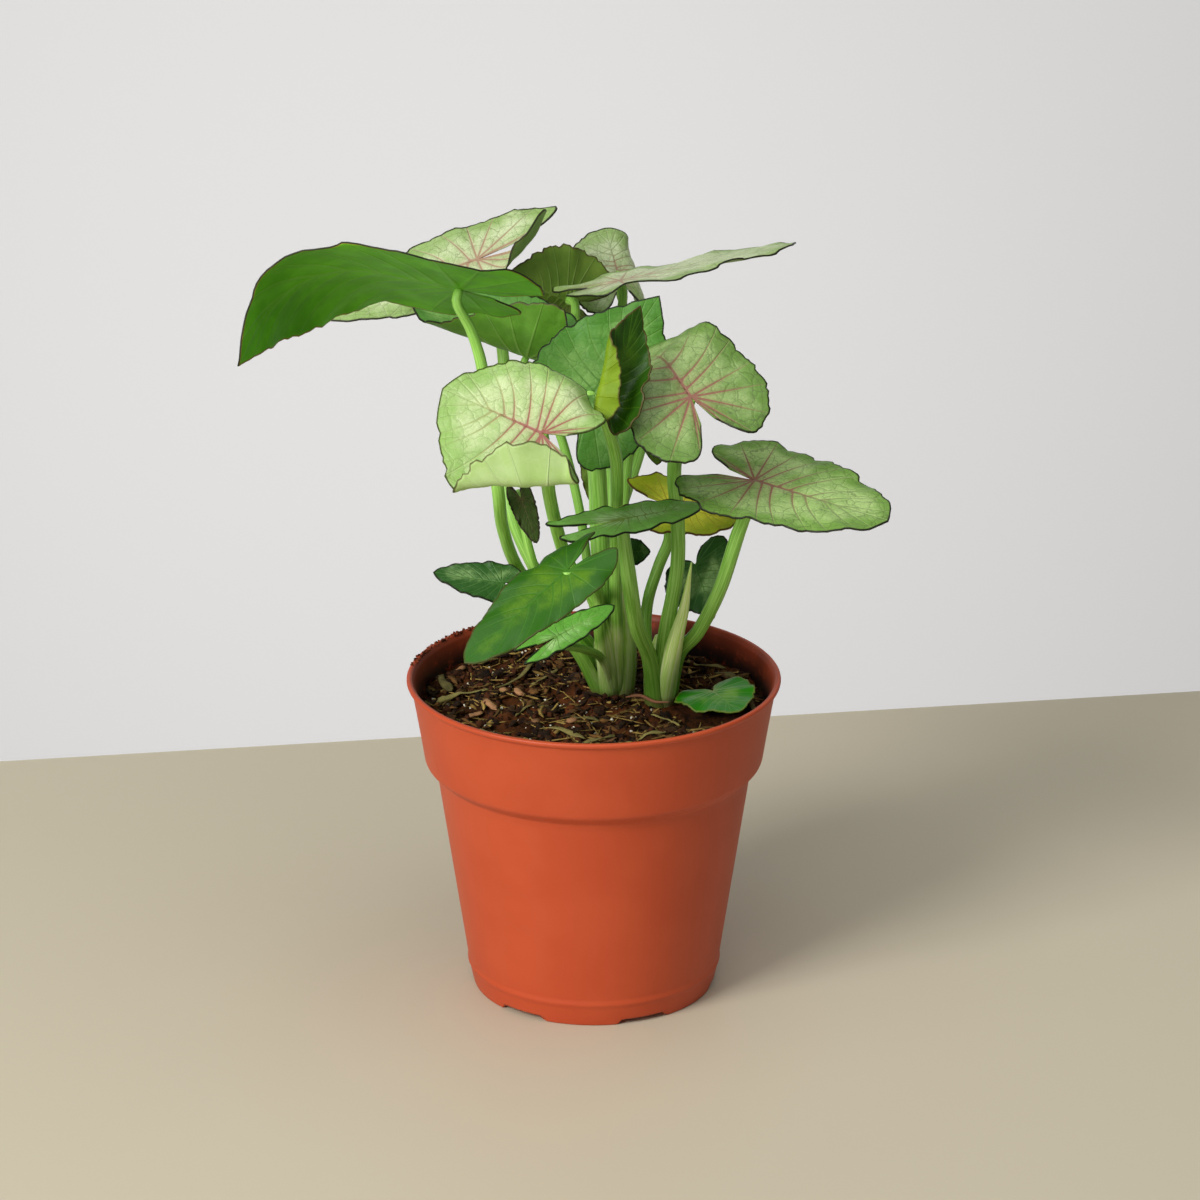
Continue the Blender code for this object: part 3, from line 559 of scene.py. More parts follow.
def half_blade(form, ribs, share):
    """One flat half: rays from the midrib to the margin, some of them ribs. The margin is a
    smooth curve through the outline's points with small teeth, which are three sines added up.
    Gives the flat points, the distance to the nearest rib in mm and as a share of the rib's
    half width, and the distance to the margin. The half's y, and its lobe behind the stalk, are
    larger by the share."""
    length, half_width, seed = form["length"], form["half_width"], form["seed"]
    front = [(u * length,
              (v + 1.2 * form["fullness"] * u * math.sqrt(1.0 - u) * (1.0 - v)) * half_width)
             for u, v in FRONT_OUTLINE]
    rear = [(u * form["lobe"], v * half_width + SINUS_GAP * u * u * (1.0 - v))
            for u, v in REAR_OUTLINE]
    margin = smooth_curve(front + rear, MARGIN_STEPS)
    run = np.linspace(0, 1, MARGIN_STEPS)
    teeth = (0.4 * np.sin(61.0 * run + seed) + 0.3 * np.sin(97.0 * run ** 1.1)
             + 0.3 * np.sin(163.0 * run ** 1.2 + seed))
    ragged = RAGGED * min(1.0, half_width / USUAL_HALF_WIDTH) ** 3 / half_width
    margin = margin * (1.0 + ragged * teeth * np.sin(math.pi * run))[:, None]
    # Each ray that stands nearest to a rib is moved onto it, so that no thin slivers arise.
    s = np.linspace(0.0, 1.0, RAYS)
    s[np.rint(np.array(ribs) * (RAYS - 1)).astype(int)] = ribs
    t = np.linspace(0.0, 1.0, RINGS + 1)[None, :, None]

    def widened(grid):
        longer = np.where(grid[..., 0] < 0.0, share, 1.0)
        return grid * np.stack([longer, np.full(grid.shape[:-1], share)], axis=-1)

    def ray_points(at):
        edge = np.stack([np.interp(at, run, margin[:, k]) for k in (0, 1)], axis=1)
        root = 0.72 * length * np.clip(1.0 - at / 0.5, 0.0, 1.0) ** 1.15
        root = np.stack([root, 0.0 * root], axis=1)
        bow = 0.045 * length * np.sin(2 * math.pi * np.clip(at, 0.0, 0.5))
        grid = root[:, None] * (1.0 - t) + edge[:, None] * t
        grid[..., 0] -= bow[:, None] * np.sin(math.pi * t[..., 0])
        return widened(grid)

    flat = ray_points(s)
    size = math.sqrt(length * half_width) / USUAL_SIZE
    midrib = np.array([[-0.5, 0.0], [0.5 * length, 0.0], [0.985 * length, 0.0]])
    from_rib = distance_to_line(flat, midrib)
    in_widths = from_rib / (size * np.interp(flat[..., 0] / length, [0.0, 0.9], MIDRIB))
    for rib, line in zip(ribs, ray_points(np.array(ribs))):
        away = distance_to_line(flat, line)
        width = size * np.interp(t[..., 0], [0.0, 0.95], SIDE_RIB if rib < 0.5 else LOBE_RIB)
        in_widths = np.minimum(in_widths, away / width)
        from_rib = np.minimum(from_rib, away)
    to_margin = distance_to_line(flat, widened(margin[::3]))
    return s, flat, in_widths, from_rib, to_margin


def blade(name, form, top_material, under_material, on_soil=False, quilting=QUILTING):
    """A leaf blade from its two halves. Its height above the flat is a wave and small crinkles
    at the margin, a swelling between the ribs and a little noise. It is then bent and set on its
    stalk, or laid on the soil. Solidify gives it its thickness and the lower face its material."""
    grids, fields = [], {"flat": [], "rib": [], "margin": [], "reach": []}
    t = np.linspace(0.0, 1.0, RINGS + 1)[None, :]
    seed = form["seed"]
    size = min(1.0, form["half_width"] / USUAL_HALF_WIDTH)
    crinkle = CRINKLE_ON_SOIL if on_soil else CRINKLE
    for side, share in ((1.0, form["left_share"]), (-1.0, 1.0)):
        ribs = [rib + 0.012 * side * math.sin(45.0 * rib + seed) for rib in SIDE_RIBS + LOBE_RIBS]
        s, flat, in_widths, from_rib, to_margin = half_blade(form, ribs, share)
        phase = 0.05 * form["turn"][0] + (1.3 if side > 0 else 0.0)
        wave = np.sin(7.0 * math.pi * s + phase) * np.sin(math.pi * s)
        height = WAVE * size * wave[:, None] * t ** 2.5
        small = np.sin(37.0 * s + 2.0 * seed) + 0.7 * np.sin(59.0 * s + seed + side)
        height += crinkle * small[:, None] * np.sin(math.pi * s)[:, None] ** 0.5 * t ** 6
        swell = 1.0 - np.exp(-(from_rib / (QUILT_FROM_RIB * size)) ** 2)
        height += quilting * size * swell * np.clip(to_margin / QUILT_FROM_MARGIN, 0.0, 1.0)
        uneven = lattice_noise(flat[..., 0] + 40, flat[..., 1] * side + 11 * seed, 6.0, 5)
        height += 0.30 * size * uneven * t
        placed = flat * np.array([1.0, side])
        own_plane = np.full_like(height, 9.0 * seed)[..., None]
        grids.append(np.concatenate([placed, height[..., None]], axis=-1))
        fields["flat"].append(np.concatenate([placed, own_plane], axis=-1))
        fields["rib"].append(in_widths)
        fields["margin"].append(to_margin)
        fields["reach"].append(np.hypot(placed[..., 0], placed[..., 1]) / form["length"])
    points, pair = np.array(grids), np.array([[0.0, 0.0, 0.0], [0.0, 0.0, -1.0]])
    for bend in form["bends"]:
        points, pair = roll_up(points, bend), roll_up(pair, bend)
    points = points @ leaf_axes(form["turn"]) + form["at"]
    if on_soil:
        above = points[..., 2] - soil_height(points[..., 0], points[..., 1])
        points[..., 2] += LAID_ABOVE - above.min()
    joint, below = pair @ leaf_axes(form["turn"]) + form["at"]
    stalk_joints[name] = (joint, (below - joint) / np.linalg.norm(below - joint))
    rows, columns = points.shape[1:3]
    right_half = grid_quads(rows, columns, start=rows * columns)[:, ::-1]
    quads = np.concatenate([grid_quads(rows, columns), right_half])
    piece = make_piece(name.replace("leaf_", "blade_"), points, quads,
                       {field: np.array(values) for field, values in fields.items()})
    piece.data.materials.append(top_material)
    piece.data.materials.append(under_material)
    thick = piece.modifiers.new("thickness", "SOLIDIFY")
    thick.thickness = BLADE_THICKNESS * MM
    thick.offset = 0.0
    thick.material_offset = 1
    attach(piece, "root")
    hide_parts(name)


def blade_fields(tree):
    """What a blade's points tell its materials: the place on the flat blade in mm, the distance
    to a rib in half widths of it, and the distance to the margin in mm."""
    return [add(tree, "Attribute", {}, output, attribute_name=field)
            for field, output in (("flat", "Vector"), ("rib", "Fac"), ("margin", "Fac"))]


def blade_top(name, colours, paleness=0.5, roughness=0.42, pink=0.5, net_strength=0.7, band=0.15):
    """The upper face of a blade: green, paler and softly mottled inwards, a fine dark net, and
    ribs that are pinkish near the stalk and fade towards the margin. The colours are the pale
    and the green part, the ribs near the stalk and far from it, the net and the edge."""
    pale, green, rib_near, rib_far, net, edge = colours
    material, tree, shader = new_material(name, green, roughness, LEAF_IOR)
    flat, rib, to_margin = blade_fields(tree)
    reach = add(tree, "Attribute", {}, "Fac", attribute_name="reach")
    # Mottling: soft clouds about 9 mm across, and a grain of 0.6 mm.
    patches = add(tree, "TexNoise",
                  {"Vector": flat, "Scale": 1 / 9.0, "Detail": 6.0, "Roughness": 0.6})
    inwards = add(tree, "MapRange", {0: to_margin, 1: 0.3, 2: 7.0, 3: -0.14, 4: 0.12},
                  interpolation_type="SMOOTHSTEP")
    paler = add(tree, "Math", {0: patches, 1: inwards}, operation="ADD")
    colour = coated(tree, green, pale, paler, 0.55 - 0.35 * paleness, 0.95 - 0.35 * paleness)
    grain = add(tree, "TexNoise", {"Vector": flat, "Scale": 1 / 0.6, "Detail": 3.0})
    colour = coated(tree, colour, green, grain, 0.4, 0.75, 0.0, 0.35)
    # The net of small veins: cells 4.2 mm across, and finer ones of 1.3 mm inside them.
    wander = add(tree, "TexNoise", {"Vector": flat, "Scale": 0.55, "Detail": 2.0}, 1)
    wander = add(tree, "Mix", {0: 0.7, 6: flat, 7: wander}, 2,
                 data_type="RGBA", blend_type="LINEAR_LIGHT")
    for cell, line, strength in ((1.3, 0.07, 0.40), (4.2, 0.034, 0.8)):
        from_vein = add(tree, "TexVoronoi", {"Vector": wander, "Scale": 1.0 / cell}, "Distance",
                        feature="DISTANCE_TO_EDGE")
        colour = coated(tree, colour, net, from_vein, 0.0, line, strength * net_strength, 0.0)
    # Ribs: a paler band on each side of a line that thins out and fades with the way to the tip,
    # and a blush round the foot of the strongest ones.
    colour = coated(tree, colour, pale, rib, 1.0, 4.0, band, 0.0)
    line_colour = coated(tree, rib_near, rib_far, reach, 0.12, pink + 0.25)
    fade = add(tree, "MapRange", {0: reach, 1: 0.2, 2: 1.0, 3: 0.95, 4: 0.45},
               interpolation_type="SMOOTHSTEP")
    colour = coated(tree, colour, line_colour, rib, 0.6, 1.35, 1.0, 0.0, times=fade)
    near_stalk = add(tree, "MapRange", {0: reach, 1: 0.08, 2: pink, 3: 1.0, 4: 0.0},
                     interpolation_type="SMOOTHSTEP")
    colour = coated(tree, colour, rib_near, rib, 1.0, 7.0, 0.3, 0.0, times=near_stalk)
    # Margin: a vein that follows it at 1.8 mm, and its thin dark edge.
    off_vein = add(tree, "Math", {0: to_margin, 1: 1.8}, operation="SUBTRACT")
    off_vein = add(tree, "Math", {0: off_vein}, operation="ABSOLUTE")
    colour = coated(tree, colour, net, off_vein, 0.05, 0.16, 0.5 * net_strength, 0.0)
    colour = coated(tree, colour, edge, to_margin, 0.20, 0.60, 1.0, 0.0)
    # Relief: the larger veins and the ribs are sunk, and the grain breaks up the sheen.
    veined = min(1.0, 1.8 * net_strength)
    veins = add(tree, "MapRange", {0: from_vein, 1: 0.0, 2: 0.16, 3: 0.0, 4: veined},
                interpolation_type="SMOOTHSTEP")
    ribs = add(tree, "MapRange", {0: rib, 1: 0.0, 2: 2.5, 3: 0.0, 4: 0.3 + 1.2 * veined},
               interpolation_type="SMOOTHSTEP")
    relief = add(tree, "Math", {0: veins, 1: ribs}, operation="ADD")
    fine = add(tree, "Math", {0: grain, 1: 0.5}, operation="MULTIPLY")
    relief = add(tree, "Math", {0: relief, 1: fine}, operation="ADD")
    dress(tree, shader, colour, relief, 0.6, 0.16)
    return material


def blade_under(name, colours, roughness=0.5, net_strength=0.1, edge="#54501F"):
    """The lower face: even green with soft clouds of 10 mm, a faint lighter net with cells of
    3 mm, and raised ribs. The colours are the green, its lighter clouds and the ribs."""
    green, light, rib_colour = colours
    material, tree, shader = new_material(name, green, roughness, LEAF_IOR)
    flat, rib, to_margin = blade_fields(tree)
    patches = add(tree, "TexNoise",
                  {"Vector": flat, "Scale": 1 / 10.0, "Detail": 6.0, "Roughness": 0.6})
    colour = coated(tree, green, light, patches, 0.3, 0.75)
    from_vein = add(tree, "TexVoronoi", {"Vector": flat, "Scale": 1.0 / 3.0}, "Distance",
                    feature="DISTANCE_TO_EDGE")
    colour = coated(tree, colour, rib_colour, from_vein, 0.0, 0.05, net_strength, 0.0)
    colour = coated(tree, colour, rib_colour, rib, 0.6, 1.6, 0.4, 0.0)
    colour = coated(tree, colour, edge, to_margin, 0.18, 0.55, 0.9, 0.0)
    ribs = add(tree, "MapRange", {0: rib, 1: 0.4, 2: 2.4, 3: 1.0, 4: 0.0},
               interpolation_type="SMOOTHSTEP")
    fine = add(tree, "Math", {0: patches, 1: 0.6}, operation="MULTIPLY")
    relief = add(tree, "Math", {0: ribs, 1: fine}, operation="ADD")
    dress(tree, shader, colour, relief, 0.6, 0.3)
    return material


PALE_LEAVES = {
    "leaf_upper_back": leaf((-33, 53, 197.5), -169, -17, -38, 47.5, 12, 27, 0.7,
                            [(0, 6, 124, 6.5, 89)], 4),
    "leaf_top_back": leaf((7, 83, 184.5), 108, 42, -3, 16, 16, 12, 0.8,
                          [(0, -1.5, -90, 5, -85)], 7),
    "leaf_right_long": leaf((7.5, 40, 195), 13, 9, -13, 51.5, 23, 17.5, 1.0, [], 8),
}
# Living leaf under a thin wax: a soft, broad sheen. Where the leaf has little green in it the
# blade is milky.
pale_top = blade_top("milky green blade, upper face",
                     ("#C6D2A7", "#8AA860", "#A08068", "#94A674", "#5E6C38", "#22240C"),
                     paleness=0.66, pink=0.35)
pale_under = blade_under("milky green blade, lower face", ("#86A65C", "#9DBA72", "#B5CC8C"))
for name, form in PALE_LEAVES.items():
    blade(name, form, pale_top, pale_under)

# The two large leaves on the right are greyer, with more green between their ribs; the lower of
# them lies open to the window, and its lighter copy of the colours is painted light.
RIGHT_LEAVES = {
    "leaf_right_round": leaf((26, -29.5, 183), 132, 38, -19, 39, 20.5, 17, 0.3,
                             [(10.5, -1.5, 12, 7, -61)], 0),
    "leaf_right_low": leaf((44, -12, 153.5), -31, -6, 10, 41.5, 20, 18.5, 0.9, [], 1),
}
greyer_top = blade_top("grey-green blade, upper face",
                       ("#97B06E", "#628737", "#8A5A4C", "#7E9258", "#46522A", "#1E220A"),
                       paleness=0.55, roughness=0.45)
# Painted light: the same grey-green upper face, lighter, for the lower leaf.
painted_light_top = blade_top("grey-green blade with painted light, upper face",
                    ("#AAC67C", "#6F983F", "#8A5A4C", "#7E9258", "#46522A", "#1E220A"),
                    paleness=0.55, roughness=0.45)
for name, form in RIGHT_LEAVES.items():
    top = painted_light_top if name == "leaf_right_low" else greyer_top
    blade(name, form, top, pale_under)


# ---- The bright leaf ----
# The youngest full leaf, in front: yellower and glossier than the older ones, with the strongest
# pink ribs. Its near lobe grew folded over and shows its lower face.

BRIGHT_LEAF = leaf((-13.5, -54.5, 181), 157, 17, -48, 30, 19.5, 12.5, 0.5,
                   [(0, 14.5, 117, 2.6, 150), (-1, -9, -115, 7, -60), (-9, -4, 190, 10, 60)],
                   2, 1.5)
# Young wax is thin and even, so that the sheen is a little tighter.
bright_top = blade_top("young milky green blade, upper face",
                       ("#BECD98", "#8DB15F", "#96584E", "#9AB468", "#647C36", "#3E4A14"),
                       paleness=0.62, roughness=0.4, pink=0.6, net_strength=0.6)
bright_under = blade_under("young milky green blade, lower face",
                           ("#9CBB6A", "#AEC687", "#BED298"), net_strength=0.16)
blade("leaf_bright", BRIGHT_LEAF, bright_top, bright_under)


# ---- The furled leaf ----
# A young leaf on the left crown that is still unrolling along its midrib: its lower face, which
# is outside, is yellow-green, and the face that it still wraps is shinier, and darker: a deeper
# green of its own with painted shade inside the roll.

FURLED_LEAF = leaf((3.5, -39, 184.5), 56, 55, 64, 28, 11.5, 7.5, 0.1,
                   [(0, 2.5, 97, 1.8, 140), (0, -2.5, -95, 3, 85)], 10)
# Soft new leaf with no net to see yet: dull outside, where its bloom is whole.
# The upper face's dark greens carry painted shade inside the roll.
furled_top = blade_top("unrolling blade, upper face",
                       ("#48700C", "#244A06", "#3C640A", "#3C640A", "#2E5408", "#4A4418"),
                       paleness=0.3, roughness=0.4, pink=0.2, net_strength=0.2)
furled_under = blade_under("unrolling blade, lower face", ("#668608", "#7C9812", "#90A828"),
                           roughness=0.6)
blade("leaf_rolled_young", FURLED_LEAF, furled_top, furled_under)


# ---- The green leaves ----
# Older blades of the same plant with hardly any white in them: mid green above with a soft bloom
# and a dark net, smooth and a little darker below.

GREEN_LEAVES = {
    "leaf_left_bowl": leaf((-19, 23.5, 177), 149, 21, -3, 41.5, 19, 21, 0.5,
                           [(1.5, -3.5, 115, 7.5, 101), (0, 0, -85, 8, 40)], 5),
    "leaf_centre_dark": leaf((-1, 0, 173.5), 31, 49, 52, 34, 18.5, 17, 0.1, [], 9),
}
# Old leaf whose bloom scatters the light: no clear highlight, and ribs hardly paler than the rest.
green_top = blade_top("mid green blade, upper face",
                      ("#7BA755", "#4D852C", "#4C7A2C", "#5F8E36", "#2E5A18", "#1A220A"),
                      paleness=0.40, roughness=0.5, pink=0.1, net_strength=0.45, band=0.05)
green_under = blade_under("mid green blade, lower face", ("#4A7E18", "#62982C", "#86AE54"))
for name, form in GREEN_LEAVES.items():
    blade(name, form, green_top, green_under)


# ---- The blotched green leaves ----
# Two younger blades low in front, grown with uneven variegation: fresh green with clouds of
# grey-green, the small one nearly white-green at its base.

BLOTCHED_LEAVES = {
    "leaf_mid_saddle": leaf((8.5, -22.5, 146), 30, 0, 12, 24, 7, 22.5, 1.0, [], 11),
    "leaf_low_variegated": leaf((-10, -20, 111), 29, 18, 32, 19, 4.5, 12.5, 0.8, [], 18),
}
# Fresh leaf: a soft sheen over strong clouds; the saddle's lighter copy is painted sunlight.
blotched_top = blade_top("blotched green blade, upper face",
                         ("#C8E8A6", "#68AC3E", "#5F8E36", "#7FAE50", "#2E5A18", "#1A220A"),
                         roughness=0.45, pink=0.1, net_strength=0.3, band=0.05)
# Painted sunlight: a lighter copy of the blotched upper face, for the saddle.
painted_sunlight_top = blade_top("green blade with painted sunlight, upper face",
                       ("#D6F2B8", "#8ECC60", "#8DAA50", "#8DAA50", "#4E7A34", "#1A220A"),
                       roughness=0.45, pink=0.1, net_strength=0.3, band=0.05)
for name, form in BLOTCHED_LEAVES.items():
    top = painted_sunlight_top if name == "leaf_mid_saddle" else blotched_top
    blade(name, form, top, green_under)


# ---- The smooth low leaf ----
# A leathery blade over the soil on the left, bent down along its length: smooth and glossy, with
# clouds of yellow-green and hardly any vein to see.

SMOOTH_LEAF = leaf((-7, -48.5, 140.5), -150, -33, -28, 37.5, 10, 13.5, 0.7,
                   [(-0.5, 5, 98, 10, -40), (-0.5, -4, -103, 4.5, -61)], 17)
# Thick skin with no net: the light runs along it in one broad streak.
smooth_top = blade_top("smooth green blade, upper face",
                       ("#5E8A10", "#2A5E0A", "#3A7012", "#3A7012", "#2C5E10", "#3E4A14"),
                       paleness=0.28, roughness=0.5, pink=0.1, net_strength=0.06, band=0.0)
blade("leaf_low_convex", SMOOTH_LEAF, smooth_top, green_under, quilting=0.04)


# ---- The dark leaves ----
# Blades on long, bowed stalks that show their smooth, dark green lower face, the longest of them
# at the upper left with an orange-brown margin.

DARK_LEAVES = {
    "leaf_upper_left": leaf((-36, -14, 208.5), 187, 14, 26, 78.5, 33.5, 20, 0.0,
                            [(23, -0.5, -31, 22, -91)], 3),
    "leaf_top_olive": leaf((-7, 58, 183), -144, 24, 36, 24, 15.5, 14, 0.0,
                           [(-0.5, -3, 85, 3.5, 74)], 6),
    "leaf_hidden_right": leaf((13, 13.5, 170), 63, -66, 1, 26, 7.5, 10, 0.5, [], 12),
    "leaf_olive_back": leaf((4.5, 43, 149.5), 100, -74, 14, 28.5, 9, 9, 1.0, [], 13),
}
# The lower face has hardly any wax: matt and even, fresh green where the light comes through the
# long leaf, olive on the others.
dark_top = blade_top("dark green blade, upper face",
                     ("#6A9440", "#3C701A", "#4C7A2C", "#5C8A34", "#24440F", "#1A220A"),
                     paleness=0.3, roughness=0.45, pink=0.1, net_strength=0.3, band=0.05)
dark_under = blade_under("dark green blade, lower face", ("#4E9C08", "#66BA18", "#6CAE30"),
                         roughness=0.6, net_strength=0.02, edge="#8A6426")
olive_under = blade_under("olive green blade, lower face", ("#4E6E1C", "#6C8830", "#7E964A"),
                          roughness=0.6, net_strength=0.05, edge="#4A3A1A")
for name, form in DARK_LEAVES.items():
    under = dark_under if name == "leaf_upper_left" else olive_under
    blade(name, form, dark_top, under)


# ---- The small leaves ----
# The first leaves of the plant, small and near the soil: juvenile blades of the same tissue, dark
# with grey-green blotches, each on a short stalk of its own.

SMALL_LEAVES = {
    "leaf_small_right": leaf((29, 24, 116), -72, -35, 52, 18.5, 12, 5, 0.0, [], 15),
    "leaf_small_left": leaf((-25.5, 1, 119), 174, 7, -35, 19.5, 6.5, 5, 0.6, [], 16),
    "leaf_small_back": leaf((11, 20, 121.5), 0, 1, 50, 5, 4, 3.5, 0.3, [], 20),
}
# Shaded, dusty leaf: a dull sheen, and blotches with a strong contrast.
small_top = blade_top("blotched dark blade, upper face",
                      ("#9EC17C", "#2B591F", "#3F6E2C", "#4F7A36", "#1F4414", "#1A220A"),
                      paleness=0.42, roughness=0.5, pink=0.1, net_strength=0.35, band=0.05)
for name, form in SMALL_LEAVES.items():
    blade(name, form, small_top, green_under)


# ---- The yellowing leaf ----
# An old blade on its way out, still held by its stalk: it has drawn back most of its green and is
# clear yellow towards its tip.

YELLOWING_LEAF = leaf((21, 8, 139.5), -7, -12, 27, 19.5, 10.5, 13, 0.7, [], 14)
# Ageing leaf whose wax has dulled: bright yellow clouds that leave a green remainder.
yellow_top = blade_top("yellowing blade, upper face",
                       ("#FFF648", "#C8D82C", "#C8BC3C", "#CFC030", "#9A9A20", "#6A4A20"),
                       paleness=0.72, roughness=0.5, pink=0.1, net_strength=0.3)
yellow_under = blade_under("yellowing blade, lower face", ("#B0B82C", "#E0D438", "#D8CC48"))
blade("leaf_yellowing", YELLOWING_LEAF, yellow_top, yellow_under)


# ---- The withered leaf ----
# A small blade that has dried on its stalk and hangs down from it, thin as paper and dark olive.
# Nothing holds it but the dried joint.

WITHERED_LEAF = leaf((-20, -9, 147.5), -18, -70, 61, 13.5, 3.5, 4.5, 0.7, [], 19)
# Dried leaf has lost its wax: no shine, and a net that stands out in brown.
withered_top = blade_top("dried blade, upper face",
                         ("#5A6232", "#344A16", "#5A5334", "#4E5230", "#2B2C17", "#2A2414"),
                         paleness=0.4, roughness=0.75, pink=0.1)
withered_under = blade_under("dried blade, lower face", ("#3A4A18", "#525C28", "#5F5C3A"),
                             roughness=0.75)
blade("leaf_withered", WITHERED_LEAF, withered_top, withered_under)


# ---- The fallen leaf ----
# A fresh, round leaf that came off its stalk and lies loose on the soil between the right crown
# and the wall.

FALLEN_LEAF = leaf((33.5, 0, 83), -62, -4, 5, 15, 11.5, 4.5, 0.4, [], 21)
# Fresh leaf with its wax whole: the glossiest of all, with a pale rib and a pale edge.
fallen_top = blade_top("fresh green blade, upper face",
                       ("#8CBC48", "#2A8806", "#7E9A50", "#5E9A30", "#2C6A14", "#6E8A30"),
                       paleness=0.2, roughness=0.3, pink=0.1, net_strength=0.12, band=0.05)
blade("leaf_fallen", FALLEN_LEAF, fallen_top, bright_under, on_soil=True)


# ---- The shoots ----
# Two crowns with their leaf stalks: juicy round stalks, pale and broad where their sheaths wrap
# each other above the soil, thinner and greener towards the leaves. A bud stands beside them.

# Each stalk's route from its crown, and its half thickness; it ends at the joint of its leaf.
LEFT_STALKS = {
    "leaf_upper_left": ([(-2, 9, 93), (-11, 10, 105), (-21, 12, 119), (-25, -2, 136),
                         (-26, -16, 152), (-28, -15, 169), (-30, -14, 186), (-33, -14, 197)], 1.8),
    "leaf_upper_back": ([(0, 13, 93), (-8, 16, 103), (-17, 20, 117), (-23, 24, 130),
                         (-25, 30, 140), (-25, 39, 155), (-26, 48, 173), (-30, 53, 189)], 1.7),
    "leaf_left_bowl": ([(2, 12, 98), (-1, 14, 114), (-4, 17, 135), (-9, 20, 155),
                        (-15, 22, 169)], 1.3),
    "leaf_top_olive": ([(4, 18, 96), (1, 24, 118), (0, 30, 140), (-2, 38, 161),
                        (-5, 48, 176)], 1.7),
    "leaf_top_back": ([(6, 17, 101), (5, 25, 121), (13, 35, 146), (17, 51, 158),
                       (12, 75, 167)], 1.5),
    "leaf_right_long": ([(7, 11, 98), (6, 13, 122), (5, 20, 143), (6, 27, 164),
                         (7, 35, 180)], 1.7),
    "leaf_centre_dark": ([(3, 4, 107), (2, 2, 132), (1, 0, 153)], 2.4),
    "leaf_rolled_young": ([(6, 0, 109), (6, -6, 134), (6, -22, 163)], 1.8),
    "leaf_bright": ([(3, 0, 102), (0, -2, 115), (-6, -5, 125), (-9, -9, 134),
                     (-12, -33, 157)], 1.9),
    "leaf_hidden_right": ([(9, 12, 104), (8, 15, 127), (10, 18, 153)], 1.4),
    "leaf_olive_back": ([(6, 20, 99), (5, 31, 120), (5, 40, 137)], 1.4),
    "leaf_low_convex": ([(2, -2, 104), (1, -6, 119), (-2, -27, 131)], 1.8),
    "leaf_small_left": ([(-2, 2, 95), (-9, 0, 106), (-18, 0, 114)], 1.2),
    "leaf_low_variegated": ([(3, -2, 96), (-2, -12, 104)], 1.2),
    "leaf_withered": ([(-6, 2, 102), (-14, -3, 119), (-18, -7, 133)], 1.2),
    "leaf_small_back": ([(10, 18, 99), (10, 21, 113)], 1.1),
}
RIGHT_STALKS = {
    "leaf_mid_saddle": ([(16, -4, 97), (12, -12, 111), (10, -18, 125)], 2.2),
    "leaf_right_round": ([(20, -3, 104), (23, -4, 125), (23, -5, 140),
                          (22, -6, 155), (24, -15, 171)], 2.1),
    "leaf_right_low": ([(23, 0, 97), (29, -3, 106), (35, -6, 120), (40, -9, 138)], 2.0),
    "leaf_yellowing": ([(15, 5, 98), (15, 8, 110), (18, 11, 120), (21, 12, 128)], 1.6),
    "leaf_small_right": ([(20, 9, 94), (25, 24, 100), (29, 31, 107)], 1.2),
}
BUD_ROUTE = [(22, -5, 101), (25, -6, 114), (27, -7, 128)]
BUD_RADIUS = 2.3
CROWN_FOOT = 78.0
ROOTED = 8.0  # how far below the soil's surface the stalks start
# Half thickness along a stalk, sheathed at its foot and thinner at its leaf, and along the bud.
STALK_TAPER = (1.5, 1.55, 1.25, 1.02, 1.0, 1.0, 1.0, 1.0, 0.85, 0.75)
BUD_TAPER = (1.0, 1.25, 1.1, 0.6)
# The skin's pattern is drawn out lengthwise: its size round a stalk, and its run for each mm.
STREAK_ROUND, STREAK_ALONG = 4.0, 0.06
LEFT_CORE = [(CROWN_FOOT, 5.4), (84, 5.6), (92, 6.2), (99, 6.0), (106, 4.6), (112, 3.2), (119, 1.0)]
RIGHT_CORE = [(CROWN_FOOT, 4.4), (85, 4.6), (91, 4.8), (97, 4.0), (103, 1.6)]
# The sheaths that wrap the left crown bulge forward: the middle and half sizes of the bulge.
BULGE_AT = (4.67, 3.0, 97.3)
BULGE_REACH = (6.67, 10.0, 13.7)


def tube(route, radii, sides=20, step=1.5, groove=0.0):
    """A stem along a smooth route: rings of points at even steps, set square to the route, with
    the radius read evenly from the list and a shallow groove down one side; ends drawn to a
    point. Gives the points, and places on a straight stem for the streaks of the skin."""
    route = np.array(route, float)
    length = np.linalg.norm(np.diff(route, axis=0), axis=1).sum()
    count = max(12, int(length / step))
    line = smooth_curve(route, count)
    flattest = np.linalg.svd(line - line.mean(axis=0))[2][2]
    ahead = np.gradient(line, axis=0)
    ahead /= np.linalg.norm(ahead, axis=1)[:, None]
    first = flattest - (ahead @ flattest)[:, None] * ahead
    first /= np.linalg.norm(first, axis=1)[:, None]
    second = np.cross(ahead, first)
    share = np.linspace(0.0, 1.0, count)
    radius = np.interp(share, np.linspace(0.0, 1.0, len(radii)), radii)
    around = np.arange(sides) / sides * 2 * math.pi
    hollow = np.exp(-((around - math.pi) / 0.5) ** 2)[None, :]
    shape = 1.0 - groove * hollow * np.clip(share * 3.0, 0.0, 1.0)[:, None]
    outward = (first[:, None] * np.cos(around)[None, :, None]
               + second[:, None] * np.sin(around)[None, :, None])
    points = line[:, None] + (radius[:, None] * shape)[..., None] * outward
    foot, end = np.repeat(line[:1, None], sides, 1), np.repeat(line[-1:, None], sides, 1)
    points = np.concatenate([foot, points, end])
    run = np.concatenate([[0.0], share * length, [length]])[:, None]
    straight = [STREAK_ROUND * np.cos(around) + 0.0 * run,
                STREAK_ROUND * np.sin(around) + 0.0 * run, STREAK_ALONG * run + 0.0 * around]
    return points, np.stack(straight, axis=-1)


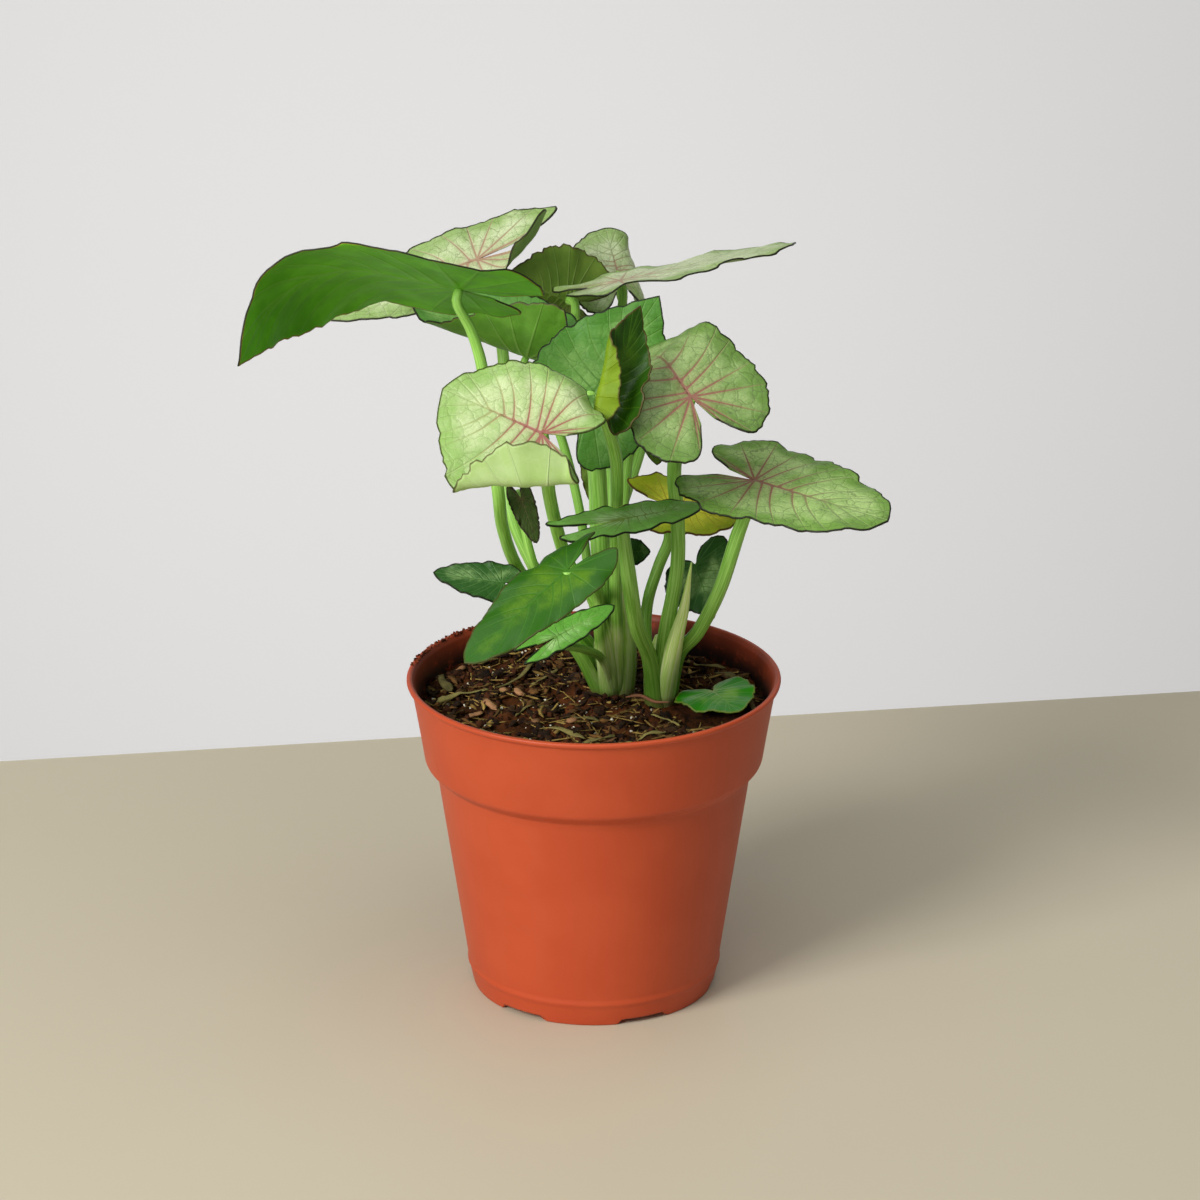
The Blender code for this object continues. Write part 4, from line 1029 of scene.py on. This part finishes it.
def shoot(name, crown, core, stalks, extras):
    """A crown and its stalks as one piece: the core, and each stalk from a place in the soil a
    tenth of the way from the crown's middle to its route, to the joint of its leaf. The crown and
    the bud are paler than the stalks, which the field `sheath` tells the material."""
    x, y = crown
    tubes = [tube([(x, y, height) for height, _ in core], [radius for _, radius in core], 28)]
    pale = [1.0] + [0.0] * len(stalks) + [1.0] * len(extras)
    for leaf_name, (route, radius) in stalks.items():
        joint, under = stalk_joints[leaf_name]
        start = (x + 0.1 * (route[0][0] - x), y + 0.1 * (route[0][1] - y), SOIL_LEVEL - ROOTED)
        route = [start] + route + [joint + under * 4.0, joint + under * 0.1]
        tubes.append(tube(route, [radius * share for share in STALK_TAPER], groove=0.12))
    for route, radii in extras:
        tubes.append(tube([(x, y, SOIL_LEVEL - ROOTED)] + route, radii))
    points, quads, fields, sheath, start = [], [], [], [], 0
    for (grid, straight), value in zip(tubes, pale):
        quads.append(grid_quads(*grid.shape[:2], wrap=True, start=start))
        points.append(grid.reshape(-1, 3))
        fields.append(straight.reshape(-1, 3))
        sheath.append(np.full(len(points[-1]), value))
        start += len(points[-1])
    piece = make_piece(name + "_stalks", np.concatenate(points), np.concatenate(quads),
                       {"lengthwise": np.concatenate(fields), "sheath": np.concatenate(sheath)})
    piece.data.materials.append(stalk_green)
    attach(piece, "root")
    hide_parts(name)


# Stalk skin under a smooth wax: a clear sheen that streaks lengthwise, mid green above, paler
# near the soil, with blotches of 11 mm that keep the change of colour uneven.
stalk_green, tree, shader = new_material("waxy green stalk", "#6F9A3C", 0.42, 1.4)
place = add(tree, "TexCoord", {}, "Object")
height = add(tree, "SeparateXYZ", {0: place}, 2)
lengthwise = add(tree, "Attribute", {}, "Vector", attribute_name="lengthwise")
sheath = add(tree, "Attribute", {}, "Fac", attribute_name="sheath")
streaks = add(tree, "TexNoise",
              {"Vector": lengthwise, "Scale": 1.3, "Detail": 5.0, "Roughness": 0.6})
blotches = add(tree, "TexNoise", {"Vector": place, "Scale": METRE / 11.1, "Detail": 3.0})
upper = coated(tree, "#7CB840", "#A6DA6C", streaks, 0.35, 0.65)
lower = coated(tree, "#5E9426", "#98C254", streaks, 0.35, 0.65)
pale = coated(tree, "#C0E668", "#F2FCB8", streaks, 0.35, 0.65)
uneven = add(tree, "Math", {0: blotches, 1: 20.0 * MM}, operation="MULTIPLY")
rise = add(tree, "Math", {0: height, 1: uneven}, operation="ADD")
tint = coated(tree, lower, upper, rise, 98.0 * MM, 150.0 * MM)
tint = add(tree, "Mix", {0: sheath, 6: tint, 7: pale}, 2, data_type="RGBA")
# The bulge of the left crown is the palest part of the plant.
bulge = add(tree, "Mapping", {
    "Vector": place, "Scale": [METRE / reach for reach in BULGE_REACH],
    "Location": [-middle / reach for middle, reach in zip(BULGE_AT, BULGE_REACH)]})
bulge = add(tree, "TexGradient", {0: bulge}, gradient_type="SPHERICAL")
tint = coated(tree, tint, pale, bulge, 0.0, 0.35)
# Painted shade low down between the stalks, as darker green, and soil dust at their foot.
tint = coated(tree, tint, "#41701A", height, 87.0 * MM, 105.0 * MM, 0.60, 0.0)
tint = coated(tree, tint, "#6B5236", height, 84.5 * MM, 87.5 * MM, 0.55, 0.0)
dress(tree, shader, tint, streaks, 0.25, 0.3)

bud_radii = [BUD_RADIUS * share for share in BUD_TAPER] + [0.2]
shoot("left_shoot", LEFT_CROWN, LEFT_CORE, LEFT_STALKS, [])
shoot("right_shoot", RIGHT_CROWN, RIGHT_CORE, RIGHT_STALKS, [(BUD_ROUTE, bud_radii)])

# A thin stalk that has dried and lies on the soil between the right crown and the fallen leaf:
# brown, shrunk and without wax.
DRIED_ROUTE = [(9, -2.2, 86.2), (13, -3.6, 87.2), (17, -6.2, 86.4), (21, -7.5, 86.8)]
dried, _ = tube(DRIED_ROUTE, [0.2, 0.45, 0.5, 0.4, 0.15], sides=8, step=0.6)
dried_stalk = make_piece("dried_stalk", dried, grid_quads(*dried.shape[:2], wrap=True))
dried_stalk.data.materials.append(new_material("dried stalk", "#8A5A3C", 0.8)[0])
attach(dried_stalk, "root")
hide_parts("soil")


# ---- The table, the wall, the light and the camera ----
# A plain beige table against a pale grey wall, soft light from a large window-like panel at the
# upper left, and a long lens a little over a metre away. None of it is part of the object.

TABLE_BACK = 192.0
TABLE_SLANT = 0.1586
WALL_BEHIND = 1700.0
FAR = 3000.0
ROOM_LIGHT = 0.155
CAMERA_DISTANCE = 1300.0
CAMERA_RISE = math.radians(20.166)
CAMERA_AIM = (1.744, 0.0, 114.38)
CAMERA_LENS, CAMERA_SENSOR = 140.07, 36.0


def stage_plane(name, corners, colour, roughness):
    """A flat four-cornered sheet of the set, from its corners in mm."""
    mesh = bpy.data.meshes.new(name)
    mesh.from_pydata((np.array(corners, float) * MM).tolist(), [], [(0, 1, 2, 3)])
    plane = bpy.data.objects.new(name, mesh)
    bpy.context.scene.collection.objects.link(plane)
    plane.data.materials.append(new_material(name + " paint", colour, roughness)[0])


def lamp(name, place, aim, size, power, colour):
    """A square area lamp at a place in mm, turned to face the aim; its size is in metres."""
    light = bpy.data.lights.new(name, "AREA")
    light.size = size
    light.energy = power
    light.color = colour
    thing = bpy.data.objects.new(name, light)
    away = np.array(place, float) - np.array(aim, float)
    flat = math.hypot(away[0], away[1])
    thing.location = np.array(place) * MM
    thing.rotation_euler = (math.atan2(flat, away[2]), 0.0, math.atan2(away[0], -away[1]))
    bpy.context.scene.collection.objects.link(thing)


# Both sheets are matt paint. The table's back edge runs a little aslant, as in the photo.
left_back, right_back = TABLE_BACK - FAR * TABLE_SLANT, TABLE_BACK + FAR * TABLE_SLANT
stage_plane("table", [(-FAR, -FAR, 0), (FAR, -FAR, 0), (FAR, right_back, 0), (-FAR, left_back, 0)],
            "#C2B9A2", 0.6)
stage_plane("wall", [(-FAR, WALL_BEHIND, -FAR), (FAR, WALL_BEHIND, -FAR),
                     (FAR, WALL_BEHIND, FAR), (-FAR, WALL_BEHIND, FAR)], "#F2F1F0", 0.9)
# The window, two soft lights that the room throws back, and one behind the table for the wall.
lamp("window", (-1060, -1110, 1080), (0, 0, 100), 0.7, 29.5, (1.0, 0.985, 0.96))
lamp("low fill", (-700, -1350, 300), (0, 0, 120), 1.0, 4.2, (1.0, 0.99, 0.97))
lamp("ceiling", (150, -350, 1400), (0, -100, 0), 1.2, 8.6, (1.0, 1.0, 1.0))
lamp("wall wash", (-150, 500, -430), (-150, 1700, -430), 0.5, 6.3, (1.0, 0.995, 0.985))
world = bpy.context.scene.world or bpy.data.worlds.new("room")
bpy.context.scene.world = world
world.use_nodes = True
world.node_tree.nodes["Background"].inputs["Color"].default_value = (0.93, 0.95, 1.0, 1.0)
world.node_tree.nodes["Background"].inputs["Strength"].default_value = ROOM_LIGHT

camera = bpy.data.objects.new("camera", bpy.data.cameras.new("camera"))
camera.data.sensor_width = CAMERA_SENSOR
camera.data.lens = CAMERA_LENS
camera.data.clip_end = 20.0
camera.location = (CAMERA_AIM[0] * MM, -CAMERA_DISTANCE * math.cos(CAMERA_RISE) * MM,
                   (CAMERA_AIM[2] + CAMERA_DISTANCE * math.sin(CAMERA_RISE)) * MM)
camera.rotation_euler = (math.pi / 2 - CAMERA_RISE, 0.0, 0.0)
bpy.context.scene.collection.objects.link(camera)
bpy.context.scene.camera = camera
bpy.context.scene.view_settings.view_transform = "Standard"

bpy.context.view_layer.update()
